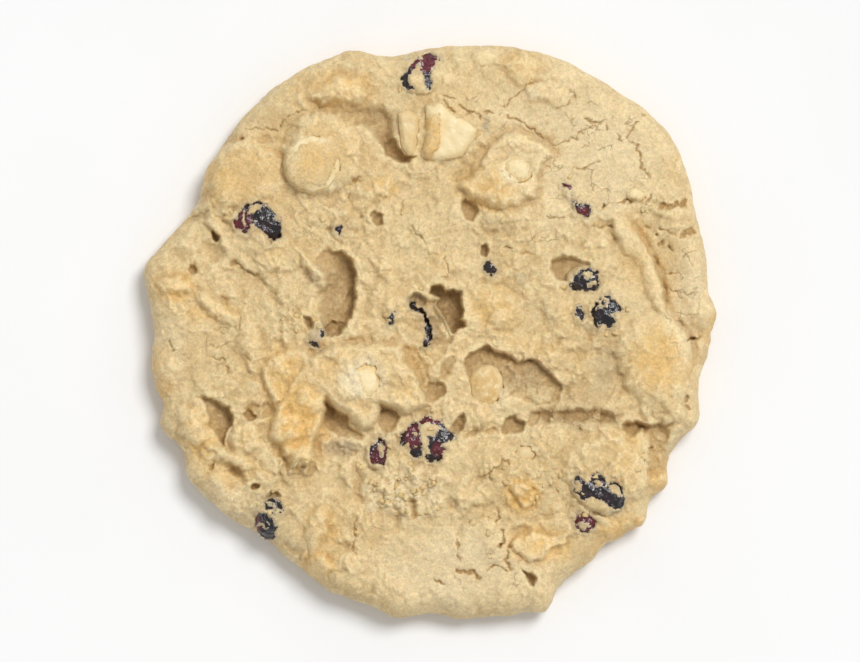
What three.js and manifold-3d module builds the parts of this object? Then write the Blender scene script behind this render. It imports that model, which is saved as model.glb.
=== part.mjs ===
// A large soft baked cookie with white chocolate chips and dried cranberries.
// Sizes are in millimetres. The cookie rests flat on Z = 0, +Z is up and +Y is the far side.
import * as THREE from "three";
import { mergeVertices } from "three/addons/utils/BufferGeometryUtils.js";
import Module from "manifold-3d";

const wasm = await Module();
wasm.setup();

const RIM_RADIUS = 56; // mean radius of the outline
const SHOULDER_WIDTH = 5.5; // width of the rounded shoulder at the rim
const SHOULDER_POWER = 2.4; // 2 rounds the shoulder as a circle does, more makes it fuller
const WAIST_HEIGHT = 4; // height at which the cookie is widest
const FOOT_TUCK = 1.6; // how far the foot lies inside the widest point
const SHOULDER_HEIGHT = 10.4; // height of the dough where the shoulder starts
const CROWN_RISE = 3.6; // extra height in the middle
const LEDGE_FACE = 2; // width of the steep face of a torn ledge
const LEDGE_TAPER = 0.16; // share of a line's length over which it fades out at each end
const HOLLOW_FLOOR = 0.45; // where the floor of a hollow ends, as a share of its half size
const HOLLOW_EDGE = 1.1; // where its wall ends
const FURROW_COUNT = 5; // furrows round a dried berry
const FURROW_DEPTH = 0.07; // as a share of the berry's radius
const LARGE_BERRY = 12; // product of the half sizes from which a berry is drawn finer
const SOCKET_GAP = 0.3; // room between an inclusion and the dough around it

const TOP_RINGS = 26; // rings of vertices from the middle to the shoulder
const SHOULDER_RINGS = 6; // rings over the rounded shoulder
const FOOT_RINGS = 2; // rings from the widest point down to the foot
const RING_COUNT = TOP_RINGS + SHOULDER_RINGS + FOOT_RINGS;

const DOUGH_COLOUR = 0xdcc08a;
const CRANBERRY_COLOUR = 0x3a2228;
const CHIP_COLOUR = 0xf0dfbc;

// Swells and notches of the outline: direction in degrees, spread in degrees, swell in mm.
const RIM_LOBES = [
  { angle: 3.5, spread: 2, swell: 1.3 },
  { angle: 16, spread: 3.5, swell: 0.6 },
  { angle: 38.5, spread: 10.5, swell: 5.2 },
  { angle: 64, spread: 13, swell: 3.9 },
  { angle: 97.5, spread: 4.5, swell: -1.6 },
  { angle: 106, spread: 2.5, swell: 0.7 },
  { angle: 114, spread: 12, swell: 2.1 },
  { angle: 139, spread: 3.5, swell: -0.8 },
  { angle: 152, spread: 5, swell: -3.1 },
  { angle: 168, spread: 3.2, swell: 2.4 },
  { angle: 180.5, spread: 2.6, swell: -1 },
  { angle: 195, spread: 1.6, swell: -0.8 },
  { angle: 199.8, spread: 1.8, swell: 1 },
  { angle: 206, spread: 2, swell: -1.2 },
  { angle: 212, spread: 2.5, swell: 0.5 },
  { angle: 232.5, spread: 7.5, swell: -3.1 },
  { angle: 243, spread: 3, swell: -0.6 },
  { angle: 263.5, spread: 2.8, swell: 1.7 },
  { angle: 276, spread: 3, swell: 1 },
  { angle: 287, spread: 6.5, swell: 3 },
  { angle: 292.5, spread: 2, swell: 2.4 },
  { angle: 309, spread: 1.6, swell: -0.9 },
  { angle: 317.5, spread: 1.8, swell: 1.4 },
  { angle: 322.5, spread: 1.6, swell: -0.6 },
  { angle: 327, spread: 1.2, swell: 0.8 },
  { angle: 332.8, spread: 3, swell: -2.6 },
  { angle: 336.5, spread: 1.5, swell: -0.6 },
  { angle: 342, spread: 2, swell: 0.6 },
  { angle: 350, spread: 3.5, swell: -1.5 },
];

// Slow swells of the whole top: rise in mm, radians for each mm to the right and to the far side.
const SWELLS = [
  { rise: 0.35, right: 0.21, far: 0.17 },
  { rise: 0.25, right: 0.33, far: -0.27 },
];

// Lumps on the top: middle, half sizes, turn in degrees, rise, and how far in from the edge they are rounded.
const LUMPS = [
  { at: [-37.6, 31], radii: [9.6, 7], turn: -10, rise: 2, reach: 4 },
  { at: [-21.6, 35.4], radii: [8.2, 8.6], turn: 0, rise: 2, reach: 3 },
  { at: [-18.4, 47.8], radii: [5.8, 3.4], turn: 8, rise: 2.2, reach: 2.6 },
  { at: [18.4, 52.4], radii: [3.6, 3.4], turn: 0, rise: 1.6, reach: 2.4 },
  { at: [23.4, 47.4], radii: [5.4, 2.6], turn: -15, rise: 1.4, reach: 2 },
  { at: [-9.6, 28.6], radii: [2.2, 1.9], turn: 0, rise: 1.2, reach: 1.4 },
  { at: [-51, 9.2], radii: [3.4, 2.2], turn: -8, rise: 1.8, reach: 1.6 },
  { at: [-42.8, 4.6], radii: [6, 1.8], turn: -36, rise: 1.6, reach: 1.6 },
  { at: [54.4, 3.6], radii: [3, 3], turn: 0, rise: 1, reach: 2 },
  { at: [19.2, -32.4], radii: [2.8, 2.6], turn: -30, rise: 1.6, reach: 1.6 },
  { at: [21.2, -44], radii: [5.6, 2.3], turn: 4, rise: 1.4, reach: 1.2 },
  { at: [-22.6, -39.6], radii: [2.4, 5], turn: -8, rise: 1.8, reach: 1.8 },
  { at: [-22.2, -47], radii: [2.6, 2.8], turn: 0, rise: 1.6, reach: 1.8 },
  { at: [39.2, 18.2], radii: [2, 6], turn: 33, rise: 1.6, reach: 1.8 },
  { at: [-40.6, -25], radii: [6, 1.8], turn: -18, rise: 1.6, reach: 1.5 },
  { at: [-47.4, -19], radii: [2.8, 4.8], turn: 30, rise: 1.8, reach: 1.8 },
  { at: [-36.8, -21.6], radii: [3.4, 3.6], turn: 0, rise: 1.8, reach: 1.8 },
  { at: [-5.2, -32.4], radii: [9, 5.6], turn: -8, rise: 1.6, reach: 2 },
  { at: [14.6, 4.6], radii: [4.8, 4.2], turn: -30, rise: 1.3, reach: 2.6 },
  { at: [15, 22.8], radii: [6.4, 3.6], turn: 0, rise: 1.6, reach: 3 },
  { at: [10, -28], radii: [12, 7], turn: -5, rise: 1.2, reach: 3 },
  { at: [-30.6, 15.6], radii: [5.4, 4], turn: -30, rise: 1.3, reach: 2.4 },
  { at: [-8, 3], radii: [5, 8], turn: 0, rise: 1.2, reach: 2.6 },
  { at: [27, 2], radii: [4, 7], turn: 30, rise: 1.2, reach: 2.6 },
  { at: [35, -28], radii: [9, 7.6], turn: -10, rise: 1.3, reach: 2.2 },
  { at: [-35.6, -2.8], radii: [2.6, 6], turn: 12, rise: 1.3, reach: 1.8 },
];

// Plates of dough that lie over each other, so that the highest counts: the same values.
const PLATES = [
  { at: [13.8, 29.8], radii: [8, 5.8], turn: 4, rise: 2.4, reach: 2.4 },
  { at: [18, 35], radii: [7, 4.6], turn: -20, rise: 1.6, reach: 1.6 },
  { at: [-25.6, -14.6], radii: [5.2, 6.6], turn: 0, rise: 2.8, reach: 2.2 },
  { at: [-27, -22], radii: [4.6, 5], turn: 0, rise: 2.6, reach: 2.2 },
  { at: [-29, -8.6], radii: [4.6, 5.6], turn: -14, rise: 2, reach: 1.6 },
  { at: [-12.4, -9], radii: [10.8, 6.8], turn: -6, rise: 2.8, reach: 2.6 },
  { at: [45, -6.4], radii: [7.2, 10], turn: 8, rise: 1.8, reach: 2.2 },
];

// Steep torn edges: the dough to the right of the direction of travel lies lower.
const LEDGES = [
  {
    drop: 2,
    reach: 18,
    line: [
      [-45.2, 25], [-44.4, 21.8], [-42, 19.8], [-41.6, 16.8], [-38, 13.4],
      [-33, 10.2], [-31.6, 7.8], [-28, 4.2],
    ],
  },
  {
    drop: 1,
    reach: 12,
    line: [
      [-32, 1.6], [-31.8, -3.8], [-33.8, -8.2], [-33.2, -11.4], [-30.4, -15.6],
      [-32, -20.2], [-29, -24.2], [-27.6, -29.2],
    ],
  },
  {
    drop: 2.4,
    reach: 10,
    line: [
      [52.4, -6.8], [51.2, -1], [47.2, 4], [45.8, 10.2], [45.2, 13.4], [42, 18.2], [39, 23.2],
    ],
  },
  {
    drop: 2.4,
    reach: 8,
    line: [[43.6, -30], [42.8, -26.2], [43.4, -22.6], [42.4, -20], [40.4, -20.4]],
  },
  {
    drop: 1.6,
    reach: 6,
    line: [[37, -18.8], [42, -18.2], [45, -18.6], [50, -17.4], [52, -16.6]],
  },
  {
    drop: 1.4,
    reach: 7,
    line: [[36.6, -3.8], [37.6, -6.2], [38.2, -9.4], [40.4, -12.2]],
  },
  {
    drop: 1.4,
    reach: 6,
    line: [
      [-2.4, 34.2], [-7.4, 34.2], [-9, 36.2], [-11.6, 40.6], [-17, 41.4], [-22, 44], [-25, 44],
    ],
  },
  {
    drop: 1,
    reach: 6,
    line: [[-0.4, -15.2], [-2, -11.8], [-3.2, -8.2], [-5.2, -6.2], [-5.6, -2.8]],
  },
  {
    drop: 0.8,
    reach: 6,
    line: [[-22.6, -26.2], [-23.2, -22.2], [-21, -18.8], [-20.6, -15.8], [-21.4, -13.8]],
  },
  {
    drop: 1.2,
    reach: 5,
    line: [[-46, -21.8], [-41, -24.8], [-36, -27.8]],
  },
  {
    drop: 1,
    reach: 4,
    line: [[24.8, 34.2], [23.6, 36.2], [18.4, 39.2], [13.4, 39]],
  },
];

// Open hollows and pits: middle, half sizes, turn in degrees and depth in mm.
const HOLLOWS = [
  { at: [-19.6, 44.6], radii: [4.8, 1.9], turn: -6, depth: 1.2 },
  { at: [-5.6, 35.8], radii: [3.4, 2.6], turn: 0, depth: 4.2 },
  { at: [-9, 40.6], radii: [2.5, 2.8], turn: 0, depth: 2.2 },
  { at: [7.8, 24.2], radii: [2.2, 2.4], turn: 0, depth: 3.5 },
  { at: [-10.4, 22.2], radii: [1.4, 1.8], turn: 25, depth: 2 },
  { at: [-19, 12.6], radii: [4, 4.2], turn: 0, depth: 3.2 },
  { at: [-19, 5.6], radii: [4.8, 3.8], turn: 0, depth: 3.4 },
  { at: [-19, 0.8], radii: [2.5, 2.5], turn: 0, depth: 5 },
  { at: [-47.6, 12.2], radii: [1.4, 1.6], turn: 0, depth: 1.4 },
  { at: [-42, -16.4], radii: [3, 3], turn: 0, depth: 3.6 },
  { at: [-41.8, -21.2], radii: [1.8, 2.8], turn: 0, depth: 4 },
  { at: [-36, -16.8], radii: [1.8, 1.5], turn: 0, depth: 2.4 },
  { at: [-18, -18], radii: [5, 2.6], turn: -49, depth: 4.5 },
  { at: [-18, -23.6], radii: [4.8, 2.6], turn: 0, depth: 1 },
  { at: [-7.8, -17.2], radii: [2.6, 2.2], turn: -15, depth: 3 },
  { at: [4, 3.8], radii: [3.1, 4.6], turn: 0, depth: 5 },
  { at: [-1.2, 6.8], radii: [3.4, 1.8], turn: 0, depth: 3.8 },
  { at: [0, 2.2], radii: [3.6, 5.2], turn: 0, depth: 2 },
  { at: [10.8, 15.8], radii: [1.4, 1.8], turn: 0, depth: 2.4 },
  { at: [27.4, 12.4], radii: [4, 2.6], turn: 8, depth: 2.4 },
  { at: [11.6, -6.2], radii: [5.2, 3.2], turn: 0, depth: 3 },
  { at: [21, -9.8], radii: [5.4, 4.6], turn: -30, depth: 3 },
  { at: [11.2, -10.8], radii: [4.6, 5], turn: 0, depth: 2.6 },
  { at: [16.6, -11.8], radii: [1.4, 1.7], turn: 0, depth: 4.2 },
  { at: [1.8, -11.6], radii: [2.4, 2.2], turn: 0, depth: 2.6 },
  { at: [16.2, -18.8], radii: [2.5, 2.2], turn: 0, depth: 4 },
  { at: [20.4, -17.8], radii: [1.8, 1.8], turn: 0, depth: 3.4 },
  { at: [39.6, -20], radii: [1.7, 1.3], turn: 0, depth: 3.6 },
  { at: [6, -18.4], radii: [1.5, 2.4], turn: -20, depth: 2.6 },
  { at: [-3.6, -35.4], radii: [1.3, 2.4], turn: 0, depth: 1 },
  { at: [18, -40.2], radii: [2.6, 1.5], turn: 0, depth: 0.8 },
  { at: [20, -49.2], radii: [1.3, 2.2], turn: 35, depth: 3 },
  { at: [-30.2, -33.4], radii: [2, 2], turn: 0, depth: 1.4 },
];

// Grooves: a bent line, half width and depth in mm.
const GROOVES = [
  { halfWidth: 2, depth: 1.2, line: [[12, 43.2], [13, 40.2], [9, 34.2], [6.4, 31.8], [3, 30.6]] },
  { halfWidth: 2, depth: 3, line: [[20.4, -17], [22, -15.6], [28, -16], [34, -18.2], [41, -19.6]] },
  { halfWidth: 1.6, depth: 1.2, line: [[3, -21.2], [9, -20.2], [14, -19.8]] },
  { halfWidth: 1.6, depth: 1, line: [[-29.4, -41.8], [-25.4, -45.8]] },
  { halfWidth: 1.6, depth: 1.2, line: [[-15, -25], [-14, -29.4], [-14.4, -32.3], [-13.4, -35]] },
  { halfWidth: 1.8, depth: 1.2, line: [[47.4, 13.6], [47.6, 9], [48.2, 5], [50, 2]] },
];

// Dried cranberries: middle from above, half sizes, turn and lean in degrees, depth of the middle.
const CRANBERRIES = [
  { name: "cranberry_01", at: [-34.2, 21.8], radii: [5.9, 5.2, 2.3], turn: 0, lean: 0, sunk: 1.4 },
  { name: "cranberry_02", at: [-18.3, 20.1], radii: [1.6, 2.2, 1.3], turn: 0, lean: 0, sunk: 0.5 },
  { name: "cranberry_03", at: [-1.8, 51.4], radii: [5, 5, 2.1], turn: 0, lean: -28, sunk: 1.2 },
  { name: "cranberry_04", at: [29.1, 26.2], radii: [4.6, 2.1, 1.5], turn: -52, lean: 0, sunk: 0.7 },
  { name: "cranberry_05", at: [30.7, 10.4], radii: [3.7, 2.8, 1.7], turn: -8, lean: 0, sunk: 0.9 },
  { name: "cranberry_06", at: [35.2, 3.9], radii: [3.5, 4, 1.9], turn: 0, lean: 0, sunk: 1 },
  { name: "cranberry_07", at: [29.5, 3.2], radii: [1.5, 2.3, 1.3], turn: 0, lean: 0, sunk: 0.5 },
  { name: "cranberry_08", at: [11.9, 12.6], radii: [1.5, 1.7, 1.3], turn: 0, lean: 0, sunk: 0.5 },
  { name: "cranberry_09", at: [-1.9, 1.3], radii: [1.9, 5.2, 1.8], turn: 22, lean: 0, sunk: 0.6 },
  { name: "cranberry_10", at: [-7.4, 2.6], radii: [1.2, 2.1, 1.3], turn: -22, lean: 0, sunk: 0.5 },
  { name: "cranberry_11", at: [-0.6, -21.6], radii: [6.3, 5.2, 2.3], turn: 0, lean: 0, sunk: 1.4 },
  { name: "cranberry_12", at: [-10.7, -24.4], radii: [2.6, 3.4, 1.6], turn: -12, lean: 0, sunk: 0.7 },
  { name: "cranberry_13", at: [-22.4, -1], radii: [2, 2.7, 1.5], turn: 0, lean: 0, sunk: 0.7 },
  { name: "cranberry_14", at: [-31.6, -37.4], radii: [3, 5.4, 2], turn: -22, lean: 36, sunk: 1 },
  { name: "cranberry_15", at: [33.4, -32], radii: [6, 4.2, 2.3], turn: -28, lean: 0, sunk: 1.4 },
  { name: "cranberry_16", at: [31, -38.1], radii: [2.1, 2.4, 1.4], turn: 0, lean: 0, sunk: 0.6 },
];

// White chocolate chips: middle seen from above, half sizes, turn and lean in degrees, depth of the middle.
const WHITE_CHIPS = [
  { name: "white_chip_01", at: [-23.4, 33.2], radii: [6, 6, 2.6], turn: 0, lean: 3, sunk: 1.1 },
  { name: "white_chip_04", at: [17.3, 32.3], radii: [3.4, 2.8, 1.9], turn: -30, lean: 6, sunk: 1.3 },
  { name: "white_chip_05", at: [11.2, -10.8], radii: [3.6, 4.4, 2.6], turn: -6, lean: 8, sunk: 0.2 },
  { name: "white_chip_06", at: [-13.2, -10.2], radii: [4.2, 4.4, 2.6], turn: 0, lean: 6, sunk: 2 },
  { name: "white_chip_07", at: [19, -24.4], radii: [2.2, 1.6, 1.4], turn: 0, lean: 0, sunk: 0.9 },
  { name: "white_chip_08", at: [41, 27.2], radii: [2.2, 1.5, 1.4], turn: -10, lean: 0, sunk: 0.6 },
  { name: "white_chip_09", at: [11, 54.2], radii: [3.2, 2, 1.6], turn: -4, lean: 0, sunk: 0.8 },
];

// Broken chunks: outline from above, middle, thickness, bevel, and how far the top stands out.
const CHUNKS = [
  {
    name: "white_chip_02",
    outline: [
      [-1, 45.2], [2, 45.6], [5, 43.2], [9.6, 40.6], [9, 38.2], [6.4, 34.6], [1.4, 33.8], [-2, 34.6],
      [-0.6, 39.2],
    ],
    middle: [4, 39.4],
    thickness: 6,
    bevel: 1,
    standsOut: 1.8,
  },
  {
    name: "white_chip_03",
    outline: [
      [-6.4, 43.4], [-4.4, 44], [-2.4, 42.8], [-2.3, 39], [-3, 35.2], [-4.4, 34.8], [-5.6, 36.6], [-6.2, 40],
    ],
    middle: [-3.6, 41],
    thickness: 5,
    bevel: 0.8,
    standsOut: 1,
  },
];

function smoothstep(low, high, value) {
  const t = Math.min(1, Math.max(0, (value - low) / (high - low)));
  return t * t * (3 - 2 * t);
}

// Distance of a point from the middle of an ellipse, 1 on its edge.
function ellipseDistance(shape, x, y) {
  const turn = THREE.MathUtils.degToRad(shape.turn);
  const dx = x - shape.at[0];
  const dy = y - shape.at[1];
  const u = (dx * Math.cos(turn) + dy * Math.sin(turn)) / shape.radii[0];
  const v = (dy * Math.cos(turn) - dx * Math.sin(turn)) / shape.radii[1];
  return Math.hypot(u, v);
}

// Nearest place on a bent line: distance, side (above 0 is to the right) and a fade towards both ends.
function nearLine(line, x, y) {
  let best = { distance: Infinity, side: 0, along: 0 };
  let travelled = 0;
  for (let i = 0; i + 1 < line.length; i += 1) {
    const [ax, ay] = line[i];
    const dx = line[i + 1][0] - ax;
    const dy = line[i + 1][1] - ay;
    const length = Math.hypot(dx, dy);
    const t = Math.min(1, Math.max(0, ((x - ax) * dx + (y - ay) * dy) / (length * length)));
    const distance = Math.hypot(x - ax - t * dx, y - ay - t * dy);
    const side = ((x - ax) * dy - (y - ay) * dx) / length;
    const clearer = Math.abs(distance - best.distance) < 1e-6 && Math.abs(side) > Math.abs(best.side);
    if (distance < best.distance - 1e-6 || clearer) {
      best = { distance, side, along: travelled + t * length };
    }
    travelled += length;
  }
  const taper = LEDGE_TAPER * travelled;
  best.fade = smoothstep(0, taper, best.along) * smoothstep(0, taper, travelled - best.along);
  return best;
}

// Radius of the outline in one direction.
function rimRadius(angle) {
  let radius = RIM_RADIUS;
  for (const lobe of RIM_LOBES) {
    let apart = THREE.MathUtils.radToDeg(angle) - lobe.angle;
    apart -= 360 * Math.round(apart / 360);
    radius += lobe.swell * Math.exp(-0.5 * (apart / lobe.spread) ** 2);
  }
  return radius;
}

// Rises steeply at the edge of an oval and flattens out: 0 at the edge, 1 well inside.
function pillow(shape, x, y) {
  const halfSize = Math.min(...shape.radii);
  const inside = (1 - ellipseDistance(shape, x, y)) * halfSize;
  const t = Math.min(1, Math.max(0, inside / Math.min(shape.reach, halfSize)));
  return 1 - (1 - t) ** 2;
}

// Height of the top of the dough before the shoulder rounds it down.
function topHeight(x, y) {
  const middle = Math.hypot(x, y) / RIM_RADIUS;
  let height = SHOULDER_HEIGHT + CROWN_RISE * (1 - middle * middle);
  for (const swell of SWELLS) {
    height += swell.rise * Math.sin(swell.right * x + swell.far * y);
  }
  for (const lump of LUMPS) {
    height += lump.rise * pillow(lump, x, y);
  }
  height += Math.max(...PLATES.map((plate) => plate.rise * pillow(plate, x, y)));
  for (const ledge of LEDGES) {
    const near = nearLine(ledge.line, x, y);
    const face = smoothstep(0, LEDGE_FACE, near.side);
    const below = face * (1 - smoothstep(LEDGE_FACE, ledge.reach, near.distance));
    height -= near.side > 0 ? ledge.drop * below * near.fade : 0;
  }
  let cut = 0;
  for (const hollow of HOLLOWS) {
    const open = 1 - smoothstep(HOLLOW_FLOOR, HOLLOW_EDGE, ellipseDistance(hollow, x, y));
    cut = Math.max(cut, hollow.depth * open);
  }
  for (const groove of GROOVES) {
    const near = nearLine(groove.line, x, y);
    cut = Math.max(cut, groove.depth * near.fade * (1 - smoothstep(0, groove.halfWidth, near.distance)));
  }
  return height - cut;
}

// Height of the finished surface above the table.
function surfaceHeight(x, y) {
  const inner = rimRadius(Math.atan2(y, x)) - SHOULDER_WIDTH;
  const over = Math.min(1, Math.max(0, Math.hypot(x, y) - inner) / SHOULDER_WIDTH);
  const share = (1 - over ** SHOULDER_POWER) ** (1 / SHOULDER_POWER);
  return WAIST_HEIGHT + (topHeight(x, y) - WAIST_HEIGHT) * share;
}

// One vertex of the dough: ring number counted from the middle, and direction.
function doughVertex(ring, angle) {
  const radius = rimRadius(angle);
  const inner = radius - SHOULDER_WIDTH;
  if (ring <= TOP_RINGS + SHOULDER_RINGS) {
    const bend = Math.max(0, (ring - TOP_RINGS) / SHOULDER_RINGS) * (Math.PI / 2);
    const out = Math.sin(bend) ** (2 / SHOULDER_POWER);
    const share = Math.max(0, Math.cos(bend)) ** (2 / SHOULDER_POWER);
    const r = inner * Math.min(1, ring / TOP_RINGS) + SHOULDER_WIDTH * out;
    const x = r * Math.cos(angle);
    const y = r * Math.sin(angle);
    return [x, y, WAIST_HEIGHT + (topHeight(x, y) - WAIST_HEIGHT) * share];
  }
  const tuck = ((ring - TOP_RINGS - SHOULDER_RINGS) / FOOT_RINGS) * (Math.PI / 2);
  const r = radius - FOOT_TUCK * (1 - Math.cos(tuck));
  const z = ring === RING_COUNT ? 0 : WAIST_HEIGHT * (1 - Math.sin(tuck));
  return [r * Math.cos(angle), r * Math.sin(angle), z];
}

// A disc of rings, six more vertices in each ring than in the one inside it, closed by a flat foot.
function doughMesh() {
  const vertices = [doughVertex(0, 0)];
  const triangles = [];
  let inner = 0;
  for (let ring = 1; ring <= RING_COUNT; ring += 1) {
    const outer = vertices.length;
    const outerCount = 6 * ring;
    const innerCount = Math.max(1, 6 * (ring - 1));
    for (let i = 0; i < outerCount; i += 1) {
      vertices.push(doughVertex(ring, (2 * Math.PI * i) / outerCount));
    }
    for (let sector = 0; sector < 6; sector += 1) {
      for (let i = 0; i < ring; i += 1) {
        const a = inner + ((sector * (ring - 1) + i) % innerCount);
        const b = outer + sector * ring + i;
        const c = outer + ((sector * ring + i + 1) % outerCount);
        triangles.push(a, b, c);
        if (i + 1 < ring) {
          triangles.push(a, c, inner + ((sector * (ring - 1) + i + 1) % innerCount));
        }
      }
    }
    inner = outer;
  }
  const foot = vertices.length;
  const footCount = 6 * RING_COUNT;
  vertices.push([0, 0, 0]);
  for (let i = 0; i < footCount; i += 1) {
    triangles.push(foot, inner + ((i + 1) % footCount), inner + i);
  }
  return solidFrom(vertices.flat(), triangles);
}

function solidFrom(positions, triangles) {
  return new wasm.Manifold(
    new wasm.Mesh({
      numProp: 3,
      vertProperties: Float32Array.from(positions),
      triVerts: Uint32Array.from(triangles),
    }),
  );
}

function solidFromGeometry(geometry) {
  geometry.deleteAttribute("normal");
  geometry.deleteAttribute("uv");
  const joined = mergeVertices(geometry, 1e-4);
  return solidFrom(joined.attributes.position.array, joined.index.array);
}

function geometryFrom(solid) {
  const mesh = solid.getMesh();
  const geometry = new THREE.BufferGeometry();
  geometry.setAttribute("position", new THREE.BufferAttribute(Float32Array.from(mesh.vertProperties), 3));
  geometry.setIndex(new THREE.BufferAttribute(Uint32Array.from(mesh.triVerts), 1));
  return geometry;
}

// A dried berry: a flattened oval with furrows that run from end to end.
function cranberry(berry, grow) {
  const detail = berry.radii[0] * berry.radii[1] > LARGE_BERRY ? 2 : 1;
  const geometry = new THREE.IcosahedronGeometry(1, detail);
  const position = geometry.attributes.position;
  const long = berry.radii[0] > berry.radii[1] ? 0 : 1;
  for (let i = 0; i < position.count; i += 1) {
    const point = [position.getX(i), position.getY(i), position.getZ(i)];
    const around = Math.atan2(point[2], point[1 - long]);
    const belt = 1 - point[long] * point[long];
    const furrow = 1 + FURROW_DEPTH * belt * Math.sin(FURROW_COUNT * around + berry.at[0]);
    const size = berry.radii.map((radius) => radius * furrow + grow);
    position.setXYZ(i, point[0] * size[0], point[1] * size[1], point[2] * size[2]);
  }
  geometry.rotateX(THREE.MathUtils.degToRad(berry.lean));
  geometry.rotateZ(THREE.MathUtils.degToRad(berry.turn));
  geometry.translate(berry.at[0], berry.at[1], surfaceHeight(...berry.at) - berry.sunk);
  return solidFromGeometry(geometry);
}

// A softened chip: round from above, blunt edged, a little flatter below than above.
function whiteChip(chip, grow) {
  const steps = 6;
  const sides = 12;
  const bluntEdge = 0.75;
  const bluntTop = 0.9;
  const belly = 0.8;
  const outline = [];
  for (let i = 0; i <= steps; i += 1) {
    const angle = -Math.PI / 2 + (Math.PI * i) / steps;
    const reach = i === 0 || i === steps ? 0 : Math.cos(angle) ** bluntEdge;
    const rise = Math.sign(angle) * Math.abs(Math.sin(angle)) ** bluntTop;
    outline.push(new THREE.Vector2(reach, angle < 0 ? rise * belly : rise));
  }
  const geometry = new THREE.LatheGeometry(outline, sides);
  geometry.rotateX(Math.PI / 2);
  geometry.scale(chip.radii[0] + grow, chip.radii[1] + grow, chip.radii[2] + grow);
  geometry.rotateY(THREE.MathUtils.degToRad(chip.lean));
  geometry.rotateZ(THREE.MathUtils.degToRad(chip.turn));
  geometry.translate(chip.at[0], chip.at[1], surfaceHeight(...chip.at) - chip.sunk);
  return solidFromGeometry(geometry);
}

// A broken chunk: a thick slab with slanted edges.
function whiteChunk(chunk, grow) {
  const shape = new THREE.Shape(chunk.outline.map(([x, y]) => new THREE.Vector2(x, y)));
  const geometry = new THREE.ExtrudeGeometry(shape, {
    depth: chunk.thickness - 2 * chunk.bevel + 2 * grow,
    bevelThickness: chunk.bevel,
    bevelSize: chunk.bevel,
    bevelOffset: grow - chunk.bevel,
    bevelSegments: 1,
  });
  const top = surfaceHeight(...chunk.middle) + chunk.standsOut;
  geometry.translate(0, 0, top - chunk.thickness + chunk.bevel - grow);
  return solidFromGeometry(geometry);
}

const inclusions = [];
function include(shapes, colour, form) {
  for (const shape of shapes) {
    inclusions.push({ name: shape.name, colour, make: (grow) => form(shape, grow) });
  }
}
include(CRANBERRIES, CRANBERRY_COLOUR, cranberry);
include(WHITE_CHIPS, CHIP_COLOUR, whiteChip);
include(CHUNKS, CHIP_COLOUR, whiteChunk);

let dough = doughMesh();
for (const inclusion of inclusions) {
  dough = dough.subtract(inclusion.make(SOCKET_GAP));
}
const bodies = dough.decompose();
bodies.sort((a, b) => b.volume() - a.volume());
dough = bodies[0];

const group = new THREE.Group();
function addNode(name, solid, colour, roughness) {
  const material = new THREE.MeshStandardMaterial({ color: colour, roughness });
  const mesh = new THREE.Mesh(geometryFrom(solid), material);
  mesh.name = name;
  group.add(mesh);
}
addNode("dough", dough, DOUGH_COLOUR, 0.8);
for (const inclusion of inclusions) {
  addNode(inclusion.name, inclusion.make(0), inclusion.colour, 0.45);
}

// The middle of the outline's box is the origin.
const box = dough.boundingBox();
for (const mesh of group.children) {
  const middleX = (box.min[0] + box.max[0]) / 2;
  const middleY = (box.min[1] + box.max[1]) / 2;
  mesh.geometry.translate(-middleX, -middleY, -box.min[2]);
}

export default group;
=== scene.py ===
import itertools
import math

import bmesh
import bpy
import numpy as np
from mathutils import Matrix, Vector
from mathutils import noise as solid_noise
from mathutils.bvhtree import BVHTree


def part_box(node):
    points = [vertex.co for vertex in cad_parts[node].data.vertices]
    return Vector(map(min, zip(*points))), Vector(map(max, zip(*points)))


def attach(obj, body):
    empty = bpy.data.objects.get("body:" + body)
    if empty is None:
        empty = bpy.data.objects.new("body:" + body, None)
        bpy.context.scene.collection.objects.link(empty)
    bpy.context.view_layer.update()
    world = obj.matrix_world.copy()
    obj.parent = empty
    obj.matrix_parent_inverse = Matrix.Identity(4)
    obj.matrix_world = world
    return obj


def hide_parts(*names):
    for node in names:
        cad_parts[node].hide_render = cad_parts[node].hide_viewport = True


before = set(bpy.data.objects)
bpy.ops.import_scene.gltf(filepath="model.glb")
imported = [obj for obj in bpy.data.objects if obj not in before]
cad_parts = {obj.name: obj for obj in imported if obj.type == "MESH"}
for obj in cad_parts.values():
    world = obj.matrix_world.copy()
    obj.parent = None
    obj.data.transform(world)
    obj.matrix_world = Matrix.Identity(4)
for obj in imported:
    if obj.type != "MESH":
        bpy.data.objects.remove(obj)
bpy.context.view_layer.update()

MM = 0.001

# Driving sizes of the dough, as in the solid that it replaces.
RIM_RADIUS = 56
SHOULDER_WIDTH = 5.5
SHOULDER_POWER = 2.4
WAIST_HEIGHT = 4
FOOT_TUCK = 1.6
SHOULDER_HEIGHT = 10.4
CROWN_RISE = 3.6
LEDGE_FACE = 0.7

# Share of a line's length over which it starts and ends.
LINE_TAPER = 0.16

# A ledge's lip and foot crease, as shares of its drop, and a plate's foot crease, of its rise.
LEDGE_LIP = 0.12
LEDGE_CREASE = 0.2
PLATE_CREASE = 0.1

# Cracks: the depth of the finest, and how far their edges jump. Flakes: the width of their edge.
CRACK_DEPTH = 0.35
CRACK_JAGS = 0.25
FLAKE_EDGE = 0.5

# Lobes of a smaller spread are flutes of the side, and this share of them fades towards the foot.
NARROW_LOBE = 4
FLUTE_FADE = 0.6

# Strengths from 0 to 1: painted shade in grooves, hollows and cracks, browning, stains round the berries,
# and ground torn or smooth.
GROOVE_SHADE = 0.25
HOLLOW_SHADE = 0.5
CRACK_SHADE = 0.65
SWELL_TOAST = 0.35
FOOT_TOAST = 0.8
BERRY_STAIN = 0.6
BERRY_TEAR = 0.6
HOLLOW_SKIN = 0.3

# How high the browned foot reaches, and how far a stain reaches from a berry.
FOOT_BROWNING = 4.2
STAIN_REACH = 0.5

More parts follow.
